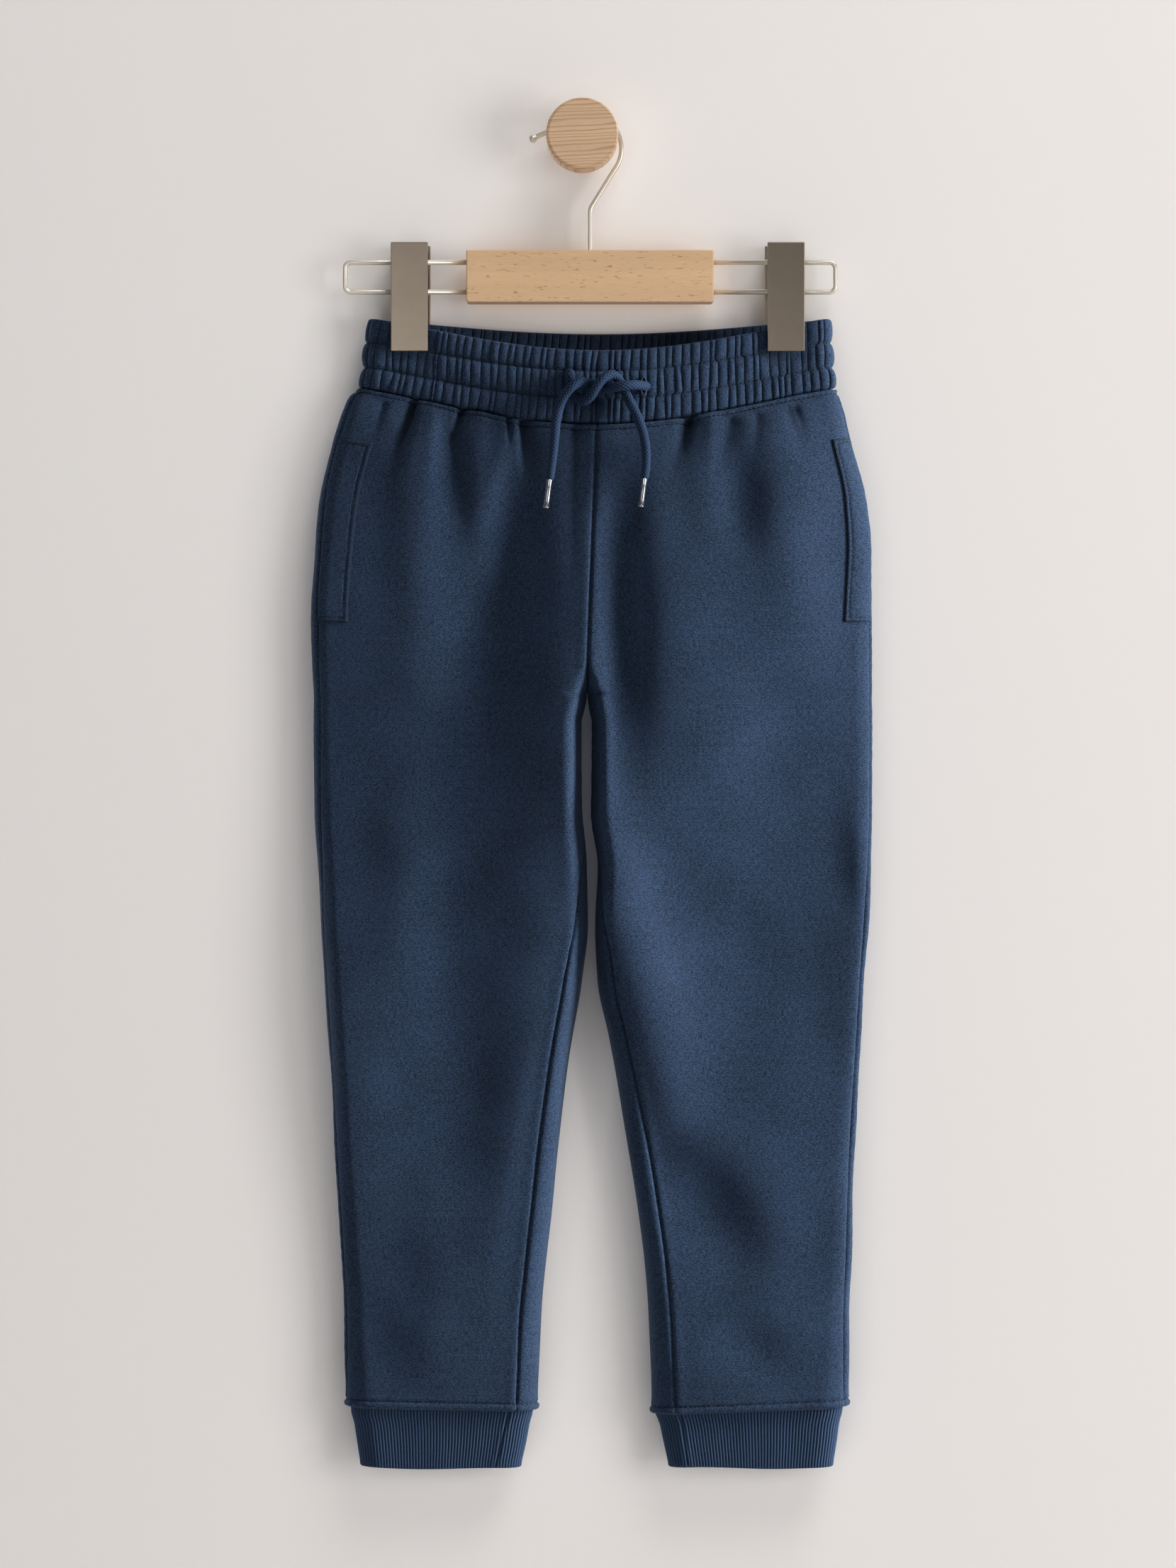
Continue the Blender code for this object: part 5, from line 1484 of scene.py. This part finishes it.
@functools.cache
def welt_surface(side):
    """One pocket welt: its panel's own surface from the side seam inwards, raised by a low wall
    with rounded edges and pinched along its stitches, and painted shade along its edges."""
    close = np.array(WELT_CLOSE)
    middle = np.linspace(WELT_TOP - close[-1], WELT_FOOT + close[-1], WELT_LEVELS)[1:-1]
    levels = np.concatenate([WELT_TOP - close, middle, WELT_FOOT + close[::-1]])
    lines, _ = leg_outlines(side, levels)
    along = lengths(lines)
    _, seam = seam_lengths(side, levels, lines, along)
    wide = smooth_columns(WELT_ROWS, levels)[:, 0 if side == RIGHT else 1]
    width = np.abs(lines[:, FINE, 0] - lines[:, 0, 0])
    edge = front_lengths(lines, along, width - wide)
    places = spread(edge, seam - WELT_FROM_SEAM, WELT_COLUMNS, close)
    grid = resampled(lines, along, places)
    out = ways_out(grid, side)
    grid = grid + out * cloth_relief("front", grid[..., 0], grid[..., 2])[..., None]
    from_edge = places - places[:, :1]
    from_seam = places[:, -1:] - places
    down = lengths(grid.swapaxes(0, 1)).T
    up = down[-1:] - down
    nearest = np.minimum(np.minimum(from_edge, down), up)
    height = 0.1 + WELT_PROUD * rounded(nearest / 1.1) * (0.35 + 0.65 * rounded(from_seam / 1.4))
    height -= WELT_PINCH * bell(nearest - WELT_STITCH, 0.5)
    puckers = 0.10 * ripples(grid[..., 0], grid[..., 2], 5.0, 41, 5)
    height += bell(nearest - WELT_STITCH, 1.5) * puckers
    points = grid + out * height[..., None]
    low = grid - out * 0.4
    return {
        "points": points, "low": low, "out": out, "u": from_edge, "v": down,
        "edge": from_edge, "down": down, "up": up,
        # painted shade: a thin dark line painted along the welt's edges
        "relief": 1.0 - 1.5 * bell(nearest, 1.0),
    }  # fmt: skip


def welt_stitch_rows(grid):
    """The stitches of a welt: along its top, down its inner edge and back along its foot."""
    inner = {"points": grid["points"].swapaxes(0, 1), "out": grid["out"].swapaxes(0, 1)}
    line, out = across_columns(inner, grid["edge"].T, WELT_STITCH)
    down = lengths(line)
    kept = (down > WELT_STITCH) & (down < down[-1] - WELT_STITCH)
    rows = [(line[kept], out[kept])]
    for name in ("down", "up"):
        line, out = across_columns(grid, grid[name], WELT_STITCH)
        kept = grid["edge"][0] > WELT_STITCH - 0.2
        rows.append((line[kept], out[kept]))
    return rows


class JOGGERS_OT_pocket_welts(bpy.types.Operator):
    """Makes the stitched welt over each side pocket"""

    bl_idname = "joggers.pocket_welts"
    bl_label = "Pocket Welts"

    def execute(self, context):
        cloth = context.scene.jogger_cloth
        finish = fleece_finish(tuple(cloth.fleece), "fleece_welt")
        for side, name in SIDES.items():
            grid = welt_surface(side)
            plain = grid["low"][::PLAIN_EVERY, ::PLAIN_EVERY]
            label = f"pocket_welt_{name}"
            mesh = panel_mesh(label, grid, plain, PLAIN_EVERY, grid["relief"])
            piece = add_piece(f"{label}_cloth", mesh, finish, [label])
        return {"FINISHED"}


class JOGGERS_OT_topstitching(bpy.types.Operator):
    """Sews the waist seam, the hems, the pocket welts and the waistband's two rows"""

    bl_idname = "joggers.topstitching"
    bl_label = "Topstitching"

    def execute(self, context):
        cloth = context.scene.jogger_cloth
        finish = thread_finish(tuple(cloth.thread))
        pitch = cloth.stitch / MM
        waist = []
        for side, name in SIDES.items():
            hem = []
            for grid in leg_surface(side).values():
                waist.append(across_columns(grid, grid["down"], WAIST_ROLL))
                hem.append(across_columns(grid, grid["up"], HEM_ROLL))
            stitch_rows(f"stitches_hem_{name}", hem, pitch, finish)
            rows = welt_stitch_rows(welt_surface(side))
            stitch_rows(f"stitches_welt_{name}", rows, pitch, finish)
        stitch_rows("stitches_waist_seam", waist, pitch, finish)
        band = band_surface(cloth.gathers)
        rows = []
        for row in band["stitched"]:
            places = [band[part][row] for part in ("points", "out")]
            rows.append([np.concatenate([place, place[:1]]) for place in places])
        stitch_rows("stitches_waistband", rows, pitch, finish)
        return {"FINISHED"}


def smooth_line(points, steps):
    """A smooth curve through points: the cubic whose direction at each is that of the line past
    it, with even steps of its parameter."""
    points = np.array(points, float)
    slopes = np.gradient(points, axis=0)
    t = (np.arange(steps) / steps)[None, :, None]
    line = cubic(t, points[:-1, None], slopes[:-1, None], points[1:, None], slopes[1:, None])
    return np.concatenate([line.reshape(-1, 3), points[-1:]])


def braid(line, radius, sides):
    """The relief of a braided cord. Two families of strands wind round it opposite ways. In each
    cell of their lattice one of them lies on top: it is round across itself, and highest at the
    middle of the cell."""
    along = lengths(line)[:, None]
    turn = np.linspace(0.0, 1.0, sides, endpoint=False)[None, :]
    lay = math.tau * radius / STRANDS
    first = STRANDS * turn + along / lay
    second = STRANDS * turn - along / lay
    across_first, across_second = np.sin(math.pi * (first % 1.0)), np.sin(math.pi * (second % 1.0))
    over = (np.floor(first) + np.floor(second)) % 2 < 1
    across = np.where(over, across_first, across_second)
    rise = np.where(over, across_second, across_first)
    return across**0.6 * (0.45 + 0.55 * rise)


class JOGGERS_OT_drawcord(bpy.types.Operator):
    """Makes the two braided ends of the drawcord, their aglets and their buttonholes"""

    bl_idname = "joggers.drawcord"
    bl_label = "Drawcord"

    def execute(self, context):
        cord = context.scene.jogger_cord
        radius = cord.diameter / MM / 2
        finish = braid_finish(tuple(cord.colour))
        chrome = metal_finish("aglet_chrome", tuple(cord.aglet), 0.22, 0.02, 0.0)
        thread = thread_finish(shade(tuple(cord.colour), 1.5))
        for name, route in CORDS.items():
            line = smooth_line((CORD_ROOTS[name], *route), CORD_STEPS)
            along = lengths(line)
            left = along[-1] - along
            taper = 1.0 - 0.16 * clamped(1.0 - left / 40.0)
            taper *= 1.0 - 0.30 * clamped(1.0 - left / 1.6) ** 2
            relief = braid(line, radius, CORD_SIDES)
            radii = (radius * taper)[:, None] * (0.88 + 0.15 * relief)
            mesh = swept(f"drawcord_{name}", line, radii, CORD_SIDES, relief)
            piece = add_piece(f"drawcord_{name}_braid", mesh, finish, [f"drawcord_{name}"])
            aglet = self.aglet(name, line, chrome)
            self.buttonhole(context, name, thread)
        return {"FINISHED"}

    def aglet(self, name, line, finish):
        """A rolled tube with a flared lip at each end and a crimp below the upper one."""
        way = unit(line[-1] - line[-12])
        profile = (
            (1.0, 0.9), (1.75, 0.85), (2.05, 0.6), (2.08, 0.2), (1.9, -0.3), (1.76, -1.2),
            (1.72, -3.0), (1.76, -3.6), (1.78, -7.5), (1.76, -11.6), (1.80, -13.6),
            (2.0, -14.6), (2.1, -15.1), (2.02, -15.45), (1.7, -15.55), (1.5, -15.1), (0.2, -15.0),
        )  # fmt: skip
        start = line[-1] + way * 0.5
        mesh = turned(f"aglet_{name}", profile, 32, start, -way)
        return add_piece(f"aglet_{name}_metal", mesh, finish, [f"aglet_{name}"])

    def buttonhole(self, context, name, finish):
        """Satin stitches round a slot: a ring carried along an oval, beaded stitch by stitch."""
        x, z = BUTTONHOLES[name]
        outside = band_surface(context.scene.jogger_cloth.gathers)["outside"].reshape(-1, 3)
        outside = outside[outside[:, 1] < HANGER_Y]
        near = np.argsort(np.hypot(outside[:, 0] - x, outside[:, 2] - z))[:40]
        y = outside[near, 1].min()
        angle = np.linspace(0.0, math.tau, 121)
        level = BUTTONHOLE_WIDE / 2 * np.sign(np.cos(angle)) * np.abs(np.cos(angle)) ** 0.7
        upright = BUTTONHOLE_TALL / 2 * np.sin(angle)
        line = np.stack([x + level, np.full(len(angle), y - 0.1), z + upright], axis=1)
        radii = 0.52 + 0.12 * np.abs(np.sin(angle * 15.0))
        mesh = swept(f"buttonhole_{name}", line, radii, 10)
        add_piece(f"buttonhole_{name}", mesh, finish)


def solid_box(node):
    """The lowest and the highest corner of a plain solid, in millimetres."""
    return [np.array(corner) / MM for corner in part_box(node)]


def in_plane(pairs):
    """Points x and z, put in the hanger's plane."""
    x, z = np.array(pairs, float).T
    return np.stack([x, np.full(len(x), HANGER_Y), z], axis=1)


def arc(centre, radius, first, last, steps):
    """Points of an arc in the hanger's plane, from one angle in degrees to another."""
    angles = np.radians(np.linspace(first, last, steps + 1))
    circle = np.stack([np.cos(angles), np.sin(angles)], axis=1)
    return in_plane(np.array(centre) + radius * circle)


class JOGGERS_OT_hanger_wires(bpy.types.Operator):
    """Makes the hanger's two wire frames and its hook with the ball at its end"""

    bl_idname = "joggers.hanger_wires"
    bl_label = "Hanger Wires"

    def execute(self, context):
        hanger = context.scene.jogger_hanger
        radius = hanger.wire / MM / 2
        finish = metal_finish("nickel_wire", tuple(hanger.wire_colour), 0.30, 0.08, 0.01, 0.55)
        low, high = FRAME_Z
        block_low, block_high = solid_box("hanger_block")
        for side, name in SIDES.items():
            face = block_low[0] if side == RIGHT else block_high[0]
            inside = face - side * WIRE_IN_BLOCK
            corner = FRAME_ENDS[side] - side * FRAME_CORNER
            outward, downward = (0, -90) if side == LEFT else (180, 270)
            upper = arc((corner, high - FRAME_CORNER), FRAME_CORNER, 90, outward, 12)
            lower = arc((corner, low + FRAME_CORNER), FRAME_CORNER, outward, downward, 12)
            ends = in_plane(((inside, high), (inside, low)))
            line = np.concatenate([ends[:1], upper, lower, ends[1:]])
            mesh = swept(f"hanger_wire_{name}", line, np.full(len(line), radius), 24)
            add_piece(f"hanger_frame_{name}_wire", mesh, finish, [f"hanger_wire_{name}"])
        bend = arc(HOOK_BEND, HOOK_RADIUS, HOOK_FROM, HOOK_TO, 60)
        foot = (HOOK_X, block_high[2] - WIRE_IN_BLOCK)
        shank = smooth_line(in_plane((foot, *HOOK_NECK)), 6)
        lip = smooth_line(np.concatenate([bend[-3:-2], in_plane(HOOK_LIP)]), 6)[7:]
        share = np.linspace(-0.78, 1.0, BALL_RINGS)
        ball = lip[-1] + unit(lip[-1] - lip[-2]) * share[:, None] * HOOK_BALL
        line = np.concatenate([shank, bend, lip[:-4], ball])
        radii = np.full(len(line), radius)
        ball_radii = HOOK_BALL * np.sqrt(np.maximum(1.0 - share**2, 0.0))
        radii[-BALL_RINGS:] = np.maximum(ball_radii, 0.02)
        mesh = swept("hanger_hook", line, radii, 24)
        add_piece("hanger_hook_wire", mesh, finish, ["hanger_hook"])
        return {"FINISHED"}


def box_outline(low, high, corner=0.0, steps=4):
    """A box's outline in x and z, whose lower corners are rounded."""
    if corner == 0.0:
        return [(low[0], low[2]), (high[0], low[2]), (high[0], high[2]), (low[0], high[2])]
    angles = np.radians(np.linspace(180.0, 270.0, steps + 1))
    circle = [(corner * (1 + math.cos(angle)), corner * (1 + math.sin(angle))) for angle in angles]
    left = [(low[0] + x, low[2] + z) for x, z in circle]
    right = [(high[0] - x, low[2] + z) for x, z in circle[::-1]]
    return [*left, *right, (high[0], high[2]), (low[0], high[2])]


class JOGGERS_OT_clips(bpy.types.Operator):
    """Makes the four plates and the two bridges of the clips, with bright bevelled edges"""

    bl_idname = "joggers.clips"
    bl_label = "Clips"

    def execute(self, context):
        nickel = tuple(context.scene.jogger_hanger.nickel)
        # the plates' painted reflection spans their own height
        finish = metal_finish("nickel_satin", nickel, 0.30, 0.10, 0.03, 0.8, (-0.121, -0.045))
        for name in SIDES.values():
            for part, edge in (("front", 0.55), ("back", 0.55), ("bridge", 1.0)):
                node = f"clip_{name}_{part}"
                low, high = solid_box(node)
                mesh = prism(node, box_outline(low, high), low[1], high[1])
                piece = add_piece(f"{node}_plate", mesh, finish, [node])
                bevelled(piece, edge)
        return {"FINISHED"}


class JOGGERS_OT_hanger_block(bpy.types.Operator):
    """Makes the beech block of the hanger, with eased edges and rounded lower corners"""

    bl_idname = "joggers.hanger_block"
    bl_label = "Hanger Block"

    def execute(self, context):
        finish = beech_finish(tuple(context.scene.jogger_hanger.beech))
        low, high = solid_box("hanger_block")
        mesh = prism("hanger_block", box_outline(low, high, 1.6), low[1], high[1])
        piece = add_piece("hanger_block_wood", mesh, finish, ["hanger_block"])
        bevelled(piece, 0.9)
        return {"FINISHED"}


class JOGGERS_OT_wall_knob(bpy.types.Operator):
    """Turns the wooden wall knob: a disc with an eased rim on a round stem"""

    bl_idname = "joggers.wall_knob"
    bl_label = "Wall Knob"

    def execute(self, context):
        finish = knob_finish(tuple(context.scene.jogger_hanger.knob))
        profile = (
            (0.01, KNOB_FRONT), (8.0, KNOB_FRONT),
            *((KNOB_RADIUS - inwards, KNOB_FRONT - back) for inwards, back in KNOB_RIM),
            (KNOB_RADIUS, KNOB_NECK + 1.4), (KNOB_RADIUS - 0.25, KNOB_NECK + 0.5),
            (KNOB_RADIUS - 0.95, KNOB_NECK), (KNOB_STEM + 0.6, KNOB_NECK),
            (KNOB_STEM, KNOB_NECK - 0.6), (KNOB_STEM, 0.3), (KNOB_STEM - 0.3, 0.0), (0.01, 0.0),
        )  # fmt: skip
        mesh = turned("wall_knob", profile, 128, (0.0, 0.0, 0.0), (0.0, -1.0, 0.0))
        mesh.set_sharp_from_angle(angle=math.radians(50))
        add_piece("wall_knob_wood", mesh, finish, ["wall_knob"])
        return {"FINISHED"}


class JOGGERS_OT_stage(bpy.types.Operator):
    """Sets the wall, the floor, the soft lights and the camera"""

    bl_idname = "joggers.stage"
    bl_label = "Stage"

    def execute(self, context):
        stage = context.scene.jogger_stage
        foot, head, front = (
            [(x, y, z) for x in (-WALL_HALF, WALL_HALF)]
            for y, z in ((WALL_Y, WALL_FOOT), (WALL_Y, WALL_TOP), (FLOOR_FRONT, WALL_FOOT))
        )
        self.plane("wall", foot + head[::-1], wall_finish(tuple(stage.wall), stage.glow))
        self.plane("floor", front + foot[::-1], wall_finish(tuple(stage.wall), 0.0))
        cloth, hanger, rest = self.shared_out()
        self.light("rake", stage.rake, 79.0, 12.0, (0.7, 2.4), cloth)
        self.light("over", stage.over, 20.0, 62.0, (1.6, 1.0), cloth)
        self.light("fill", stage.fill, -80.0, 4.0, (1.0, 2.0), cloth)
        self.light("key", stage.key, 50.0, 0.0, (1.4, 1.4), rest)
        self.light("card", stage.card, -16.0, 6.0, (1.6, 1.6), hanger)
        self.light("top", stage.top, 35.0, 55.0, (1.5, 1.5), rest)
        self.light("back_right", stage.back, 140.0, 20.0, (1.4, 1.4))
        self.light("back_left", stage.back * 0.7, -135.0, 10.0, (1.4, 1.4))
        world = context.scene.world or bpy.data.worlds.new("room")
        context.scene.world = world
        world.use_nodes = True
        background = world.node_tree.nodes["Background"]
        background.inputs["Color"].default_value = ROOM_COLOUR
        background.inputs["Strength"].default_value = stage.sky
        camera = bpy.data.cameras.new("camera")
        camera.sensor_width = SENSOR
        camera.lens = stage.lens
        viewer = bpy.data.objects.new("camera", camera)
        context.scene.collection.objects.link(viewer)
        viewer.location = CAMERA_PLACE
        viewer.rotation_euler = (math.radians(90), 0.0, 0.0)
        context.scene.camera = viewer
        context.scene.view_settings.view_transform = "Standard"
        return {"FINISHED"}

    def plane(self, name, corners, finish):
        mesh = bpy.data.meshes.new(name)
        mesh.from_pydata(corners, [], [(0, 1, 2, 3)])
        mesh.materials.append(finish)
        plane = bpy.data.objects.new(name, mesh)
        bpy.context.scene.collection.objects.link(plane)
        plane.visible_shadow = False

    def light(self, name, power, turn, rise, size, lit=None):
        """A soft light, LIGHT_DISTANCE from the garment: turn degrees to the right of straight in
        front of it, rise degrees above it. It lights one collection only, where lit is given."""
        lamp = bpy.data.lights.new(name, "AREA")
        lamp.shape = "RECTANGLE"
        lamp.energy = power
        lamp.size, lamp.size_y = size
        lamp.color = LIGHT_COLOUR
        thing = bpy.data.objects.new(name, lamp)
        bpy.context.scene.collection.objects.link(thing)
        turn, rise = math.radians(turn), math.radians(rise)
        level = (math.sin(turn) * math.cos(rise), -math.cos(turn) * math.cos(rise))
        away = Vector((*level, math.sin(rise))) * LIGHT_DISTANCE
        thing.location = Vector(GARMENT_MIDDLE) + away
        thing.rotation_euler = (-away).to_track_quat("-Z", "Y").to_euler()
        thing.visible_camera = False
        if lit is not None:
            thing.light_linking.receiver_collection = lit

    def shared_out(self):
        """The cloth, the hanger and knob, and these two with the wall, as collections, so that a
        light can be kept off the others, as a studio's flags do."""
        names = ("lit_cloth", "lit_hanger", "lit_rest")
        cloth, hanger, rest = (bpy.data.collections.new(name) for name in names)
        for piece in bpy.context.scene.collection.objects:
            if piece.name.endswith(CLOTH_NAMES) or piece.name.startswith(("stitches", "buttonhole")):
                cloth.objects.link(piece)
            elif piece.name.endswith(HARD_NAMES):
                hanger.objects.link(piece)
                rest.objects.link(piece)
            elif piece.name in ("wall", "floor"):
                rest.objects.link(piece)
        return cloth, hanger, rest


class JOGGERS_PT_sidebar(bpy.types.Panel):
    """The garment's settings and its operators"""

    bl_label = "Jogger Sweatpants"
    bl_idname = "JOGGERS_PT_sidebar"
    bl_space_type = "VIEW_3D"
    bl_region_type = "UI"
    bl_category = "Joggers"

    def draw(self, context):
        for name in SETTINGS:
            box = self.layout.box()
            group = getattr(context.scene, name)
            for prop in group.bl_rna.properties:
                if prop.identifier not in ("rna_type", "name"):
                    box.prop(group, prop.identifier)
        for operator in OPERATORS:
            self.layout.operator(operator.bl_idname)


SETTINGS = {
    "jogger_cloth": ClothSettings,
    "jogger_cord": CordSettings,
    "jogger_hanger": HangerSettings,
    "jogger_stage": StageSettings,
}
OPERATORS = (
    JOGGERS_OT_leg_panels,
    JOGGERS_OT_waistband,
    JOGGERS_OT_cuffs,
    JOGGERS_OT_pocket_welts,
    JOGGERS_OT_topstitching,
    JOGGERS_OT_drawcord,
    JOGGERS_OT_hanger_wires,
    JOGGERS_OT_clips,
    JOGGERS_OT_hanger_block,
    JOGGERS_OT_wall_knob,
    JOGGERS_OT_stage,
)


def register():
    for group in (*SETTINGS.values(), *OPERATORS, JOGGERS_PT_sidebar):
        bpy.utils.register_class(group)
    for name, group in SETTINGS.items():
        setattr(bpy.types.Scene, name, bpy.props.PointerProperty(type=group))


def unregister():
    for name in SETTINGS:
        delattr(bpy.types.Scene, name)
    for group in reversed((*SETTINGS.values(), *OPERATORS, JOGGERS_PT_sidebar)):
        bpy.utils.unregister_class(group)


def main():
    register()
    for operator in OPERATORS:
        category, name = operator.bl_idname.split(".")
        getattr(getattr(bpy.ops, category), name)()


if __name__ == "__main__":
    main()
